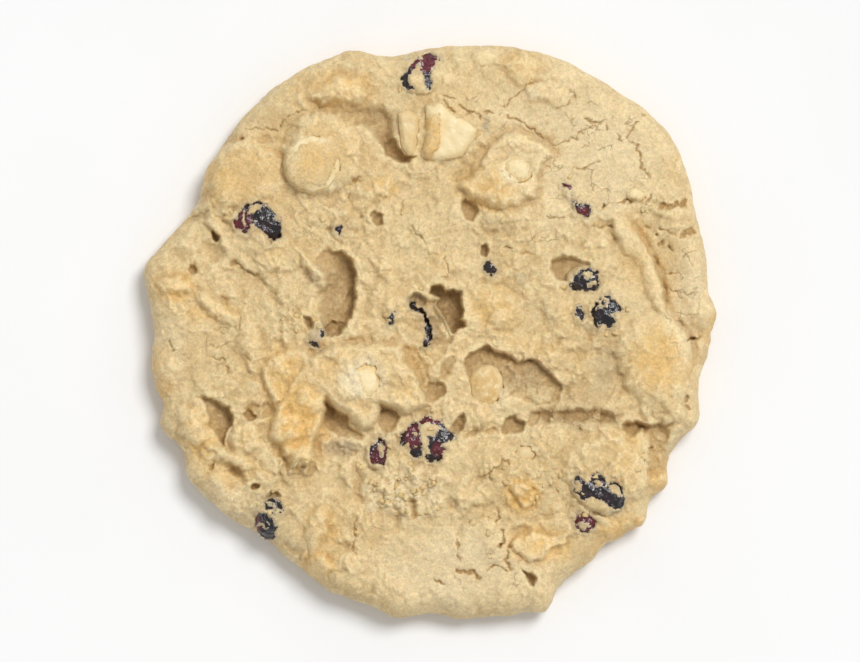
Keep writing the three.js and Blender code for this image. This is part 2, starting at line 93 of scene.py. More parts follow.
# The wobble that makes edges ragged: how far, and over what size.
WOBBLES = [(0.6, 3.3), (0.42, 1.5), (0.22, 0.8)]

# Layers of flakes: size, count, thickness, and how much of it lies anywhere, on lumpy and on torn ground.
FLAKE_LAYERS = [
    (5, 420, 0.5, 0, 1, 0),
    (2.4, 1700, 0.32, 0.15, 0.85, 1.1),
    (1.2, 5600, 0.24, 0.2, 0.8, 1.2),
]

# Waves of the side wall: how far, and over what size.
SIDE_WAVES = [(0.3, 3.3), (0.18, 1.3)]

# How much of the wobble the edges of folds, plates and caves have.
FOLD_RAGGEDNESS = 0.2
PLATE_RAGGEDNESS = 0.55
CAVE_RAGGEDNESS = 0.6

# Fineness of the height map and of the meshes.
GRID_HALF = 62.0
GRID_STEP = 0.15
TOP_RINGS = 300
SHOULDER_RINGS = 40
FOOT_RINGS = 14
SIDE_STEP = 0.24
DOUGH_TRIANGLES = 192000
INCLUSION_DETAIL = 5

# Dough that just covers a berry or a chip, and how far below their tops it lies where they show.
BERRY_COVER = 0.35
CHIP_COVER = 0.12
WINDOW_DEPTH = 0.8

# How far round a chip the dough slopes down to it, and how far in from its edge a berry is smeared.
CHIP_SLOPE = 1.6
BERRY_FILM = 0.5

# Loose crumbs.
CRUMB_COUNT = 150
CRUMB_CORNERS = 14
CRUMB_SEED = 77

# Light: strengths, and the width of the key in degrees.
DOME_STRENGTH = 0.54
KEY_STRENGTH = 2.05
KEY_SOFTNESS = 22

# Swells and notches of the outline: direction and spread in degrees, swell in mm.
RIM_LOBES = [
    (3.5, 2, 1.3), (16, 3.5, 0.6), (38.5, 10.5, 5.2), (64, 13, 3.9), (97.5, 4.5, -1.6), (106, 2.5, 0.7),
    (114, 12, 2.1), (139, 3.5, -0.8), (152, 5, -3.1), (168, 3.2, 2.4), (180.5, 2.6, -1), (195, 1.6, -0.8),
    (199.8, 1.8, 1), (206, 2, -1.2), (212, 2.5, 0.5), (232.5, 7.5, -3.1), (243, 3, -0.6),
    (263.5, 2.8, 1.7), (276, 3, 1), (287, 6.5, 3), (292.5, 2, 2.4), (309, 1.6, -0.9), (317.5, 1.8, 1.4),
    (322.5, 1.6, -0.6), (327, 1.2, 0.8), (332.8, 3, -2.6), (336.5, 1.5, -0.6), (342, 2, 0.6),
    (350, 3.5, -1.5),
]

# Slow swells of the whole top: rise, radians for each mm to the right and to the far side.
SWELLS = [(0.35, 0.21, 0.17), (0.25, 0.33, -0.27)]

# Swellings: middle, half sizes, turn in degrees, rise, and how far in from the edge they are rounded.
LUMPS = [
    ((-20.4, 48.2), (4.4, 3.2), 20, 1.1, 2.8), ((-15.6, 47.6), (3.4, 2.8), -20, 1, 2.4),
    ((-37.6, 31), (9.6, 7), -10, 2, 4), ((-21.6, 35.4), (8.2, 8.6), 0, 2, 3),
    ((18.4, 52.4), (3.6, 3.4), 0, 1.6, 2.4), ((23.4, 47.4), (5.4, 2.6), -15, 1.4, 2),
    ((-9.6, 28.6), (2.2, 1.9), 0, 1.2, 1.4), ((-51, 9.2), (3.4, 2.2), -8, 1.8, 1.6),
    ((-42.8, 4.6), (6, 1.8), -36, 1.6, 1.6), ((54.4, 3.6), (3, 3), 0, 1, 2),
    ((-22.6, -39.6), (2.4, 5), -8, 1.8, 1.8), ((-22.2, -47), (2.6, 2.8), 0, 1.6, 1.8),
    ((39.2, 18.2), (2, 6), 33, 1.6, 1.8), ((44.6, 8.4), (1.8, 7), 18, 1.4, 1.6),
    ((-40.6, -25), (6, 1.8), -18, 1.6, 1.5), ((-47.4, -19), (2.8, 4.8), 30, 1.8, 1.8),
    ((-36.8, -21.6), (3.4, 3.6), 0, 1.8, 1.8), ((-5.2, -32.4), (9, 5.6), -8, 0.9, 4),
    ((-23.6, 12.8), (1.2, 5.2), 35, 1.6, 1), ((14.6, 4.6), (4.8, 4.2), -30, 1.3, 2.6),
    ((15, 22.8), (6.4, 3.6), 0, 1.6, 3), ((10, -28), (12, 7), -5, 1.2, 3),
    ((-30.6, 15.6), (5.4, 4), -30, 1.3, 2.4), ((-8, 3), (5, 8), 0, 1.2, 2.6),
    ((27, 2), (4, 7), 30, 1.2, 2.6), ((35, -28), (9, 7.6), -10, 1.3, 2.2),
    ((-35.6, -2.8), (2.6, 6), 12, 1.3, 1.8), ((-33.4, -17), (4.6, 10), 8, 0.8, 4),
    ((-28.2, -19.4), (3.2, 3), 0, 0.9, 2.4), ((-24, -14), (3.2, 2.4), -30, 0.9, 2),
    ((-22.8, -20), (1.7, 2.6), 0, 0.8, 1.4), ((-25.6, -24.4), (2.2, 1.7), 0, 0.8, 1.4),
    ((-29.6, -7.6), (2.6, 2.4), 0, 0.8, 2), ((-15, -6.4), (4, 2.4), 10, 0.8, 2),
    ((-7.4, -8.6), (3.4, 2.6), -30, 0.8, 2), ((-11.6, -12), (3, 2.2), 0, 0.7, 2),
    ((-16.6, -11.6), (2.4, 2.2), 0, 0.7, 1.8),
]

# Irregular plates of dough that stand up from the rest: rise, how far in they are rounded, outline.
PLATES = [
    (3, 2, [(5.5, 28.3), (6, 29.8), (9.8, 32.6), (10.7, 34), (16, 35.4), (20.4, 33.8), (21.8, 31),
        (21.4, 26.4), (14.5, 24), (9.8, 25.5)]),
    (2, 0.8, [(9.8, 32.6), (12, 37.4), (15, 39.6), (17.9, 39.4), (23.6, 36.8), (24.8, 35.6), (22.6, 33.4),
        (21, 29), (14, 30)]),
    (2.6, 1.3, [(-20, -5), (-18.6, -9), (-20.4, -13.2), (-21.2, -18.6), (-22.9, -21.9), (-22.9, -26),
        (-25, -27.2), (-28, -26.8), (-30.2, -22.8), (-31.7, -21.3), (-31.9, -19.2), (-30.4, -15),
        (-28.6, -10.5), (-26, -7)]),
    (2.8, 1.5, [(-24.7, -5), (-20, -3), (-14, -2), (-5.2, -2.9), (-4.8, -5.7), (-1.9, -9), (-2.3, -10.2),
        (0.3, -14.8), (-4.5, -16.5), (-10.2, -14.6), (-10.2, -17), (-11.2, -19.2), (-13.6, -20),
        (-16.4, -16.7), (-18.6, -15.7), (-24, -10.5)]),
    (1.3, 3, [(50, -16), (52, -10), (51.5, -3), (48, 2), (44, 4), (40, 1.5), (37.5, -1), (36.4, -4),
        (38, -6.2), (39, -11), (42, -14.5), (46, -16.4)]),
    (2.3, 3, [(-24, 46.5), (-22, 49), (-18, 51.2), (-13.6, 50.2), (-12, 47.6), (-13.4, 45.4), (-17.5, 44.4),
        (-21.5, 45)]),
    (1.7, 1, [(-24, -4), (-23, -7), (-25, -10.5), (-28, -12.6), (-29.4, -14.4), (-30.9, -14.9),
        (-33.7, -9.1), (-33.5, -6.8), (-31.3, -4.9), (-28.5, -3.4)]),
    (1.4, 0.6, [(16, -42), (17, -40.5), (20, -39.6), (24, -40.6), (27.6, -40.4), (27, -42.6),
        (24.4, -43.4), (22.3, -45.6), (20, -46.2), (16.4, -43.6)]),
    (1.3, 0.9, [(15.5, -31.6), (17, -30), (19, -30), (21.4, -33), (20.4, -35), (18.6, -35.4),
        (17.4, -33.4)]),
]

# Torn edges: drop, reach, line. The dough to the right of the direction of travel lies lower.
LEDGES = [
    (1.6, 14, [(-45.2, 25.2), (-44, 23.3), (-44.3, 21.4), (-42.9, 20.5), (-39.6, 14)]),
    (0.7, 12, [(-40.2, 14.8), (-33.2, 10.9), (-28, 3.7)]),
    (0.4, 12, [(-32, 0.6), (-32.4, -1.8), (-31.8, -3.8), (-33.8, -7.4), (-33.2, -11.4), (-31, -14.2),
        (-30.2, -16), (-31.6, -17.8), (-32, -20.4), (-29.4, -23.2), (-28, -26.4), (-27.6, -29.2)]),
    (2.4, 8, [(43.6, -29.8), (42.6, -26.8), (43.4, -23.2), (43.2, -21.2), (42.6, -19.8), (41, -20.4)]),
    (1.6, 6, [(37, -18.8), (42, -18.2), (45, -18.6), (52, -16.6)]),
    (0.6, 7, [(36.6, -3.8), (37.4, -5.4), (38.2, -9.4), (39, -11), (40.4, -12.2)]),
    (0.8, 6, [(-2.4, 34.2), (-4, 33.8), (-7.6, 34.2), (-11.6, 40.6), (-17, 41.4), (-22, 44), (-25, 44)]),
    (1, 6, [(-0.4, -15.2), (-3.2, -8.2), (-5.2, -6.2), (-5.6, -2.8)]),
    (0.8, 6, [(-22.6, -26.2), (-23.4, -23.8), (-21, -18.8), (-20.6, -15.8), (-21.4, -13.8)]),
    (1.2, 5, [(-46, -21.8), (-36, -27.8)]),
    (0.8, 4, [(24.6, 33.2), (24.8, 34.6), (23.6, 36.2), (18.4, 39.2), (16, 39.6), (13.4, 39)]),
    (0.8, 3, [(14, -19.8), (12, -19.6), (6, -21.2), (3, -21.2)]),
    (0.8, 3, [(36.2, 23.2), (36.6, 20.6), (38.2, 17.8)]),
    (1.2, 9, [(-26, 36.4), (-30, 37.6), (-38, 37.8), (-41, 36.8), (-43, 35.4)]),
    (0.9, 3, [(-4, -37.6), (-4.4, -33.4)]),
]

# Smooth folds that end in a crisp edge, told as the torn edges are.
FOLDS = [
    (2.4, 9, [(51.4, -9.5), (52.1, -5.2), (51.6, -2.2), (46.6, 5), (45.5, 11), (44.2, 14.4), (39.3, 21.6),
        (37, 23.4)]),
]

# Open caves: depth, width of the wall, extra depth for each mm to the right and to the far side, outline.
CAVES = [
    (1.6, 2.6, (0.1, -0.05), [(-23.5, 44.4), (-18.9, 43.4), (-12, 39.4), (-9.5, 36), (-7, 38.6),
        (-6.7, 43), (-9, 45), (-12.5, 46), (-14.6, 44.8), (-17, 44.4), (-20, 45.6)]),
    (2.8, 0.7, (-0.25, -0.2), [(-9.6, 37.4), (-8, 38.8), (-6.6, 38.4), (-6, 36.8), (-4.6, 35),
        (-2.4, 34.6), (-4.4, 33.4), (-6.8, 33.7), (-8.8, 35.2)]),
    (2.6, 0.6, (0.6, -0.08), [(-17.2, 16), (-15.4, 14.4), (-14.6, 11.6), (-14.8, 5.2), (-15.6, 2.6),
        (-17, 0.4), (-18.6, -1), (-20.8, -1), (-23.4, 4.6), (-23.6, 6.6), (-22.8, 7.8), (-20.6, 8.4),
        (-23.2, 13.8), (-22.4, 15.4), (-20, 16.2)]),
    (4.6, 0.7, (0.5, 0), [(-17, 2.6), (-16.6, 1.6), (-17.4, 0.2), (-19.4, -1.2), (-20.8, -1),
        (-21.4, 0.4), (-21.2, 1.4), (-19.6, 2.6)]),
    (2, 0.6, (0, 0), [(-25.2, 2.8), (-24, 2.8), (-23.2, 1.6), (-23.2, 0.2), (-24.2, 0.2), (-25.2, 1.4)]),
    (2.8, 0.6, (0.6, 0.1), [(-46.6, -13), (-44.2, -13.2), (-39.9, -14.9), (-39.2, -16.8), (-39.4, -18.7),
        (-40.6, -20.1), (-41.3, -22.9), (-44.2, -18.7), (-44.7, -15.3)]),
    (2.4, 0.5, (0, 0.4), [(-21, -13.8), (-18.6, -15.7), (-16.4, -16.7), (-15.7, -18.8), (-13.6, -20.7),
        (-13.8, -21.7), (-18.1, -21), (-21.4, -18.6)]),
    (2.4, 0.5, (0, 0.4), [(-10.2, -14.8), (-9, -15), (-5.7, -16.7), (-6.4, -18.6), (-7.6, -20),
        (-9, -20.5), (-10, -19)]),
    (5.6, 0.5, (0.2, 0), [(0, 8.9), (1.8, 9.2), (3, 8.8), (3.4, 7.8), (4.6, 8.4), (6, 7.8), (7, 4.6),
        (6.3, 2.2), (7.2, 1.6), (7.2, 0.8), (5.8, 0.4), (5, -0.6), (4.3, -0.4), (1.2, 5.4), (1.8, 6.6),
        (-0.5, 7.6)]),
    (1.6, 0.8, (0, 0), [(-1.8, 6.4), (0, 6.2), (1.6, 6.6), (1.6, 4.2), (3.2, 1.8), (4.2, -0.6),
        (5.4, -0.6), (4.4, -2.6), (0, -3), (0.4, -0.8), (0, 1.2), (-1.6, 4.6)]),
    (2.2, 0.6, (0, 0), [(-4.2, 7), (-3.4, 7.8), (-1.8, 7.4), (-0.4, 6.2), (0, 4.2), (-4, 5.6)]),
    (2.3, 0.8, (-0.2, 0.15), [(23.8, 12.2), (24.2, 13.8), (25.4, 15), (27, 15.4), (29, 15), (32.2, 13.2),
        (29.6, 11.8), (27.2, 9.4), (25.6, 9.8), (24.4, 10.8)]),
    (2, 0.5, (0.03, 0.3), [(6.7, -5.5), (9.8, -3.3), (11.3, -3), (15, -4.3), (17.2, -5.8), (20.3, -5.3),
        (21.7, -5.9), (26.5, -10.6), (25.8, -13.6), (25, -14.6), (22, -15), (19.4, -14.4), (17, -13.2),
        (15, -13.6), (13, -15.5), (10, -15.4), (8.2, -13.4)]),
    (2.2, 0.5, (0, 0.2), [(14, -18.8), (15.6, -16.8), (17, -16.8), (18.6, -18.3), (18.8, -19.8),
        (17.5, -20.5), (15.5, -20.5), (14.2, -20)]),
    (1.7, 0.8, (0, 0.2), [(18.8, -18.8), (20, -16.4), (20.7, -15.8), (22, -16), (21.4, -18.6),
        (20, -19.2)]),
    (2.2, 0.6, (0.2, 0), [(6.4, -15.8), (7, -16.4), (7.3, -18), (6.6, -19.6), (5, -21), (4, -20.8),
        (3.6, -19.8)]),
    (1.8, 0.5, (0, 0), [(-0.4, -10.2), (1.2, -9.9), (2.5, -10.2), (3.4, -11), (3.5, -12), (2.4, -13.4),
        (0.8, -13.8), (0, -13.4), (-0.6, -12)]),
    (1, 0.7, (0, 0), [(0.5, -9.8), (2, -8.4), (2.2, -6.8), (3.2, -5.6), (4.8, -5), (5.2, -6.2),
        (4.4, -7.6), (4.2, -9), (3, -10)]),
    (2.2, 0.5, (0.2, 0.2), [(6.9, 26.4), (8.8, 26), (9.8, 24), (9, 21.7), (7.4, 22.1), (6.2, 24),
        (6, 25.5)]),
    (2, 0.5, (0, 0), [(17.3, -10.9), (17.4, -12), (16.6, -13), (15.8, -13), (15.5, -12.2),
        (16.2, -11.2)]),
    (2.8, 0.4, (0, 0), [(18, -47.2), (21.2, -49.2), (20.8, -51), (20, -50.6)]),
    (1.5, 0.7, (0, 0), [(-32, -31.2), (-30, -32.4), (-28.4, -35.2), (-30.8, -33.8), (-32.8, -33.4)]),
    (1.5, 2.4, (0.04, 0.45), [(20.7, -15.8), (24.4, -15.6), (29.4, -15.2), (34, -15.1), (36, -15.6),
        (37.4, -17.4), (39, -18.6), (37.4, -20), (34.6, -19.4), (29.6, -18.6), (25.2, -18), (21.6, -18)]),
    (1.1, 1, (0, 0.2), [(37.6, -18.4), (40, -18.2), (43, -18.7), (46, -18.4), (48, -18.7), (42.8, -19.9),
        (40.2, -21.4), (38, -19.8)]),
]

# Round pits: middle, half sizes, turn in degrees, depth.
PITS = [
    ((-10.4, 22.2), (1.1, 1.5), 25, 2), ((-47.6, 12.2), (1, 1.3), 0, 1.6), ((-41, 5.6), (1, 1), 0, 0.7),
    ((-36, -16.8), (1.3, 1.1), 0, 2.4), ((-33.4, -14.8), (0.7, 0.7), 0, 1.6),
    ((-33.7, -15.8), (3.2, 1.8), 0, 1.2), ((-34.8, -31), (0.8, 0.9), 0, 2.2),
    ((-43.4, -27), (0.7, 0.7), 0, 1.2), ((10.8, 15.8), (0.9, 1.4), 0, 2.4),
    ((51.4, -13.8), (0.6, 0.6), 0, 1.2), ((51.2, -15.4), (0.6, 0.6), 0, 1.2),
    ((5, -34.8), (1.4, 1.2), 0, 0.7), ((18, -40.2), (2.5, 1.4), 0, 0.8),
    ((14, -42.8), (0.5, 0.5), 0, 1.4), ((44, -23.6), (0.6, 0.5), 0, 1.5), ((-43, 18.9), (1, 1.1), 0, 2.4),
    ((52.2, -1.4), (0.9, 0.4), 0, 1.6), ((-37.6, 38.4), (0.5, 0.5), 0, 1.2),
    ((43.4, 20.8), (0.4, 0.4), 0, 0.9), ((45, 19), (0.5, 0.4), 0, 0.9), ((46, 17.4), (0.4, 0.5), 0, 0.9),
    ((47.8, 16.6), (0.5, 0.4), 0, 0.9), ((34.4, 24.8), (0.4, 0.8), 0, 1.4),
    ((-17.5, -23.6), (4.4, 1.8), 0, 0.6), ((-37.8, -29), (1.5, 1), -30, 1), ((35, -7.8), (3, 6), 0, 0.4),
    ((-3.2, -35.4), (1.2, 2.2), 0, 0.7),
]

# Grooves: half width, depth, line.
GROOVES = [
    (2, 0.9, [(12, 43.2), (13, 40.2), (9, 34.2), (6.4, 31.8), (3, 30.6)]),
    (0.7, 1.4, [(6.7, -21.4), (9.5, -20.2), (13.8, -19.8)]),
    (0.6, 1.2, [(51, -1), (47, 5.2), (45.9, 11.2), (44.6, 14.6), (42.6, 18)]),
    (1.6, 1, [(-29.4, -41.8), (-25.4, -45.8)]),
    (1.4, 1.2, [(-15, -25), (-14, -29.4), (-14.4, -32.3), (-13.4, -35)]),
    (1.1, 1.3, [(-39.8, -27.5), (-38, -29.4), (-36, -30.6)]),
]

# Raised tongues left standing in the hollows: half width, rise, line.
TONGUES = [
    (1.4, 1.8, [(-24.4, 13.2), (-20.4, 8.4)]),
    (1, 1, [(15.6, -6), (17.6, -9.8)]),
    (0.9, 1, [(1.4, 0.8), (2.6, -0.2), (4.2, -1.2)]),
    (0.8, 1.3, [(-26.4, -24.4), (-27.8, -28.8)]),
    (0.7, 1.2, [(-24.6, -25), (-24.8, -27), (-24.4, -29)]),
    (0.7, 1, [(-28, -23.4), (-29.6, -25.4), (-30, -27.4)]),
    (0.6, 0.8, [(-23.2, -24.6), (-22.4, -26.6), (-22.2, -27.8)]),
]

# Ground that gets painted shade beyond what its depth gives: middle, half sizes, strength.
SHADED_GROUND = [
    ((-18, 11), (4, 5.4), 0.95), ((-18.6, 3.4), (3.4, 4), 0.5), ((19, -8.8), (7, 4.4), 1.1),
    ((28, -16.8), (10, 2.4), 1.3), ((28.4, -12.8), (8, 4), 0.6), ((34.4, -17), (5, 2.4), 1.3),
    ((42, -19.4), (5, 1.4), 0.9), ((46, -24), (2.6, 5), 0.35), ((27, 13), (3.2, 2.8), 0.8),
    ((3.4, 5), (3.4, 4.6), 1.25), ((-8, 40), (3, 5), 0.6), ((-11, 42.6), (4.4, 2.6), 0.5),
    ((-25, -27.8), (4, 1), 0.7), ((22.6, -33), (2, 5), 0.25), ((-38, 31), (10, 8), 0.22),
    ((-14.6, 43.6), (6, 1.6), 0.5), ((34, -5), (3, 7), 0.3),
]

# Fine cracks in the skin: half width, bent lines.
CRACKS = [
    (0.22, [(2, 47.4), (3.6, 47), (4.4, 46.4), (5.4, 46.4)]),
    (0.22, [(2.2, 46), (3.4, 44.6), (5.6, 43.2)]),
    (0.3, [(5.2, 45.4), (7.2, 44), (8.4, 43.8), (10.2, 42.4)]), (0.26, [(10.4, 43.6), (12.8, 43.4)]),
    (0.22, [(13.4, 44.8), (15, 44.9), (16, 46.2), (17.5, 47), (19.5, 49.2), (21, 49.8), (23.3, 50)]),
    (0.3, [(14, 43), (16.5, 42.4), (20.6, 40.3), (22, 39), (24.5, 37.5)]),
    (0.24, [(24, 37.8), (25.5, 37.2), (29, 38), (29.6, 39.6), (33.6, 41)]),
    (0.2, [(25.3, 44.7), (28.6, 45.6)]), (0.34, [(27.6, 48.2), (29.3, 46.3)]),
    (0.3, [(30.8, 41.9), (32.4, 41.5), (34.6, 42.4)]), (0.24, [(34.5, 41), (35, 39.7)]),
    (0.26, [(37.2, 39.7), (38.2, 38.8), (38.7, 37.5)]),
    (0.24, [(39.2, 38.6), (40.4, 40.1), (40.8, 41.4), (41.8, 41.7)]),
    (0.3, [(40.2, 37.7), (41, 37), (42.4, 34.6), (42.3, 33), (43, 31.5), (44, 30.2)]),
    (0.2, [(28.8, 32.4), (30.6, 32.6), (33.8, 33.9), (34.4, 34.6)]), (0.3, [(41.8, 43), (43, 43.2)]),
    (0.3, [(32, 21.2), (33.2, 21), (36.5, 21.2)]),
    (0.22, [(23.2, 22.8), (24.6, 22), (26, 22.6), (27.4, 22.8)]),
    (0.4, [(36.8, 25.2), (39.4, 26.4), (41, 25.6)]), (0.4, [(42.6, 25.6), (44, 26.4), (44.3, 27.3)]),
    (0.8, [(45.3, 25), (48, 24.6), (51, 25.3)]), (0.7, [(50, 18.8), (53.4, 20.2)]),
    (0.26, [(45.2, 20.6), (49.4, 19.4)]), (0.2, [(47, 12.4), (48.2, 11.2), (50, 11)]),
    (0.24, [(47.4, 9.2), (49, 8), (50.2, 6.4)]), (0.3, [(51, -1.4), (52.6, -1.7), (54.4, -1.2)]),
    (0.24, [(-29.8, 40.2), (-29.2, 41.8)]), (0.2, [(-29, 42.6), (-26, 43.8), (-24.4, 43.8)]),
    (0.22, [(-37, 40), (-33, 40.2), (-30, 39.8)]), (0.2, [(-5, 26.2), (-5.6, 22.6)]),
    (0.22, [(-4, 21.2), (-2.6, 19.6), (-1, 18.6), (-0.6, 17.2)]),
    (0.2, [(3.4, 15.2), (3.2, 11.2), (2, 10.2)]), (0.26, [(14.6, 16.8), (17, 16.2)]),
    (0.26, [(18, 15.4), (20.4, 15.6)]), (0.5, [(-15.6, 30), (-14.6, 29.6), (-14.4, 31)]),
    (0.3, [(13.9, -35.6), (13, -39)]), (0.4, [(14.3, -39.2), (14.8, -40.4), (14.6, -41.8), (13.9, -43)]),
    (0.36, [(15.6, -43.8), (16, -44.4), (15, -45.4), (16.2, -47.6)]),
    (0.34, [(11.2, -47.8), (12.2, -46.8), (14, -47), (15.6, -47.6)]),
    (0.24, [(0.6, -49.4), (3.6, -50.6)]), (0.44, [(5, -47.6), (7, -48.2), (8.4, -48), (10.4, -49.4)]),
    (0.24, [(5.6, -40.6), (5.8, -45.4), (6.4, -46.4)]),
    (0.24, [(9, -29.6), (12, -28.4), (14.5, -26), (17, -26)]),
    (0.24, [(16.4, -40.6), (15.8, -42.6), (16.2, -44)]), (0.24, [(-14.8, -37), (-15.7, -44.2)]),
    (0.3, [(-46, -13), (-44.2, -13.3), (-43, -13.8)]), (0.24, [(-40, 13.8), (-38, 13), (-34, 10.8)]),
    (0.2, [(-44, -5), (-41, -6), (-40, -8.4)]), (0.2, [(-52, -1), (-51.4, -4)]),
    (0.2, [(-38, 3.4), (-37.6, 0.4)]),
]

# Where each berry or chip shows: outlines of its open places.
WINDOWS = {
    "cranberry_01": [
        [(-29.2, 20.2), (-29.8, 18.4), (-31.2, 17.4), (-31.6, 18.4), (-33, 19.8), (-35, 21), (-36, 20.2),
         (-36.2, 19.4), (-39, 20.4), (-39.2, 21.4), (-38.4, 23.6), (-36.8, 24.8), (-33.8, 26.2),
         (-32.8, 24.6), (-31, 23.4), (-30.6, 22.6), (-29.8, 22.4)],
    ],
    "cranberry_02": [[(-17.8, 21.6), (-17.2, 21.2), (-17.8, 18.6), (-19.2, 20.4)]],
    "cranberry_03": [
        [(2.6, 55), (2.4, 54), (1.2, 54.1), (0.7, 53.4), (0.4, 49.6), (-0.2, 48.4), (-1.1, 48.4),
         (-1, 51.2), (-1.7, 53.6), (-1.3, 55), (0.3, 55.4)],
        [(-2, 55.2), (-4.1, 52.9), (-5.7, 50.3), (-5.8, 48.6), (-4.6, 47.7), (-3.3, 48.2), (-4.1, 49.4),
         (-4.1, 50.8), (-1.1, 54.6)],
    ],
    "cranberry_04": [
        [(26, 29.4), (27, 29.6), (28, 28.2), (28.4, 26.8)],
        [(28.2, 26.2), (30.4, 24.6), (31.4, 24.8), (32, 23.8), (31.6, 23), (29.4, 23)],
    ],
    "cranberry_05": [
        [(27.6, 9.2), (29.4, 11.8), (31.6, 12.8), (33.4, 11.8), (33.8, 10), (33, 8.2), (29.4, 8.4)],
    ],
    "cranberry_06": [
        [(35.8, 7.2), (37.4, 5.6), (38.2, 4.2), (37, 4), (36.6, 3.2), (36.8, 2), (35.6, 0.4),
         (34.6, 1.6), (33, 0.6), (32.2, 0.6), (32, 1.4), (32.6, 2.2), (32.2, 3), (32.6, 5.2),
         (33.8, 5.6), (34, 6.6)],
    ],
    "cranberry_07": [
        [(29.6, 5), (30.4, 4.6), (31, 3.4), (30.6, 2.8), (30.8, 1.2), (30.2, 2.2), (28.6, 3.4)],
    ],
    "cranberry_08": [[(11.2, 13.8), (12.4, 13.8), (13, 12.6), (12.8, 11.6), (11.8, 11.4), (11, 12.2)]],
    "cranberry_09": [
        [(-1.1, -3.3), (0, -2.9), (0.7, -0.3), (0.4, 1.7), (-0.3, 3.8), (-1, 4.6), (-2.3, 4.7),
         (-2.6, 6.1), (-4, 7), (-4.6, 6.7), (-3.4, 4), (-1.9, 3.3), (-1.2, 1.7), (-0.9, -0.8)],
    ],
    "cranberry_10": [[(-6.4, 4), (-7, 3), (-7.4, 1), (-8.2, 1), (-8.2, 2.8), (-7.6, 3.8)]],
    "cranberry_11": [
        [(-2.4, -17.8), (-1.9, -18.7), (-2, -22.1), (-1.6, -23.2), (-2, -24.4), (-2.7, -25.1),
         (-3.6, -24.4), (-3.6, -23.2), (-4.1, -22.7), (-5.3, -23.2), (-6.1, -22.7), (-6.1, -22.1),
         (-4.4, -18.9), (-3.6, -18.1)],
        [(5.4, -20.9), (3, -21.9), (2.1, -22.7), (3.3, -23.7), (1.3, -25.8), (0.4, -26.1), (-1.6, -25.5),
         (-1.3, -24.5), (-0.1, -24.4), (-0.4, -21.2), (1, -20.7), (1.6, -19.5), (2.7, -19.4),
         (3.9, -20.4)],
        [(-2.1, -17.8), (-1.3, -17.1), (0.1, -16.8), (2.7, -18.4), (3.3, -19.5), (2.4, -19.5),
         (1.3, -18.5), (-0.1, -18.1), (-1.3, -18.5)],
    ],
    "cranberry_12": [
        [(-8.7, -20.7), (-8.7, -24.7), (-9.3, -26.9), (-10.1, -27.1), (-11, -26.5), (-12.1, -26.5),
         (-12.6, -26.1), (-11.9, -22.9), (-10.7, -22.1), (-10.1, -21.2)],
    ],
    "cranberry_13": [
        [(-21.8, 1), (-21.2, 0.4), (-20.8, -0.8), (-21.2, -1)],
        [(-23.8, -2.6), (-22.8, -2.2), (-22, -2.4), (-22.2, -3), (-23.2, -3.2)],
    ],
    "cranberry_14": [
        [(-35, -37), (-33.6, -36.2), (-31.8, -37.2), (-30.8, -38.8), (-31, -41.4), (-32.4, -42),
         (-34, -40.6), (-35.2, -39)],
        [(-33.4, -33), (-31.6, -33), (-29.6, -34.4), (-28.6, -36.2), (-30, -36.4), (-33, -35.4)],
    ],
    "cranberry_15": [
        [(28.8, -29), (29.8, -28.6), (31.6, -30), (32.4, -29.6), (32.6, -28.6), (33.4, -28),
         (37.6, -31.2), (38.4, -32.2), (38.6, -33.6), (37.6, -36), (36.8, -36.2), (35.4, -34.4),
         (31.6, -33), (31, -33.8), (29.2, -32.8), (28.4, -31.8)],
    ],
    "cranberry_16": [
        [(30.2, -35.8), (31.6, -36.2), (33, -37.6), (32.9, -39.2), (31.5, -40.4), (29.9, -40),
         (29, -38.8), (29.2, -37)],
    ],
    "white_chip_01": [
        [(-27.8, 36.3), (-26.1, 37.9), (-23.9, 38.6), (-22, 38.4), (-22.3, 37.5), (-23.8, 37.6),
         (-25.6, 37), (-26.9, 35.8)],
        [(-24.4, 27.8), (-21.5, 28), (-19.2, 29.7), (-18.1, 31.8), (-17.9, 33.7), (-18.8, 33.6),
         (-19, 32), (-19.9, 30.2), (-21.8, 28.9), (-24.2, 28.7)],
    ],
    "white_chip_02": [
        [(9.2, 40.4), (8.6, 38.2), (6.2, 34.8), (1.4, 34.2), (-1.6, 35), (-0.2, 39.2), (-0.8, 44.6),
         (2, 45.2), (5, 42.8)],
    ],
    "white_chip_03": [
        [(-4.4, 44.5), (-1.9, 43), (-1.8, 39), (-2.6, 34.9), (-4.4, 34.3), (-6.1, 36.4), (-6.9, 43.7)],
    ],
    "white_chip_04": [
        [(15, 33.6), (16.6, 34.4), (18.6, 34), (20, 32.4), (20.3, 30.8), (19.4, 29.6), (17.6, 29.8),
         (15.6, 31.4)],
    ],
    "white_chip_05": [
        [(7.9, -6.9), (10.5, -6.5), (12.9, -7.1), (14.3, -9), (14.8, -11), (14.6, -12.9), (13.4, -13.8),
         (11.4, -14.6), (9.8, -14.4), (8.1, -11.9), (7.4, -8.1)],
    ],
    "white_chip_06": [
        [(-14.4, -7.4), (-12.8, -6.8), (-11, -7), (-10, -9), (-10.4, -11.8), (-12, -13.2),
         (-13.6, -11.6)],
    ],
    "white_chip_07": [
        [(17, -23.6), (18.2, -22.8), (19.8, -23.2), (20.9, -24.4), (20.4, -25.6), (18.4, -25.6),
         (17.2, -24.8)],
    ],
    "white_chip_08": [[(39.4, 27.6), (40.6, 28.2), (42.4, 27.8), (42.8, 26.8), (41.6, 26), (40, 26.4)]],
    "white_chip_09": [[(8.6, 54.4), (9.4, 55.8), (12.2, 55.9), (13.4, 54.8), (12.8, 52.9), (10.4, 52.8)]],
}

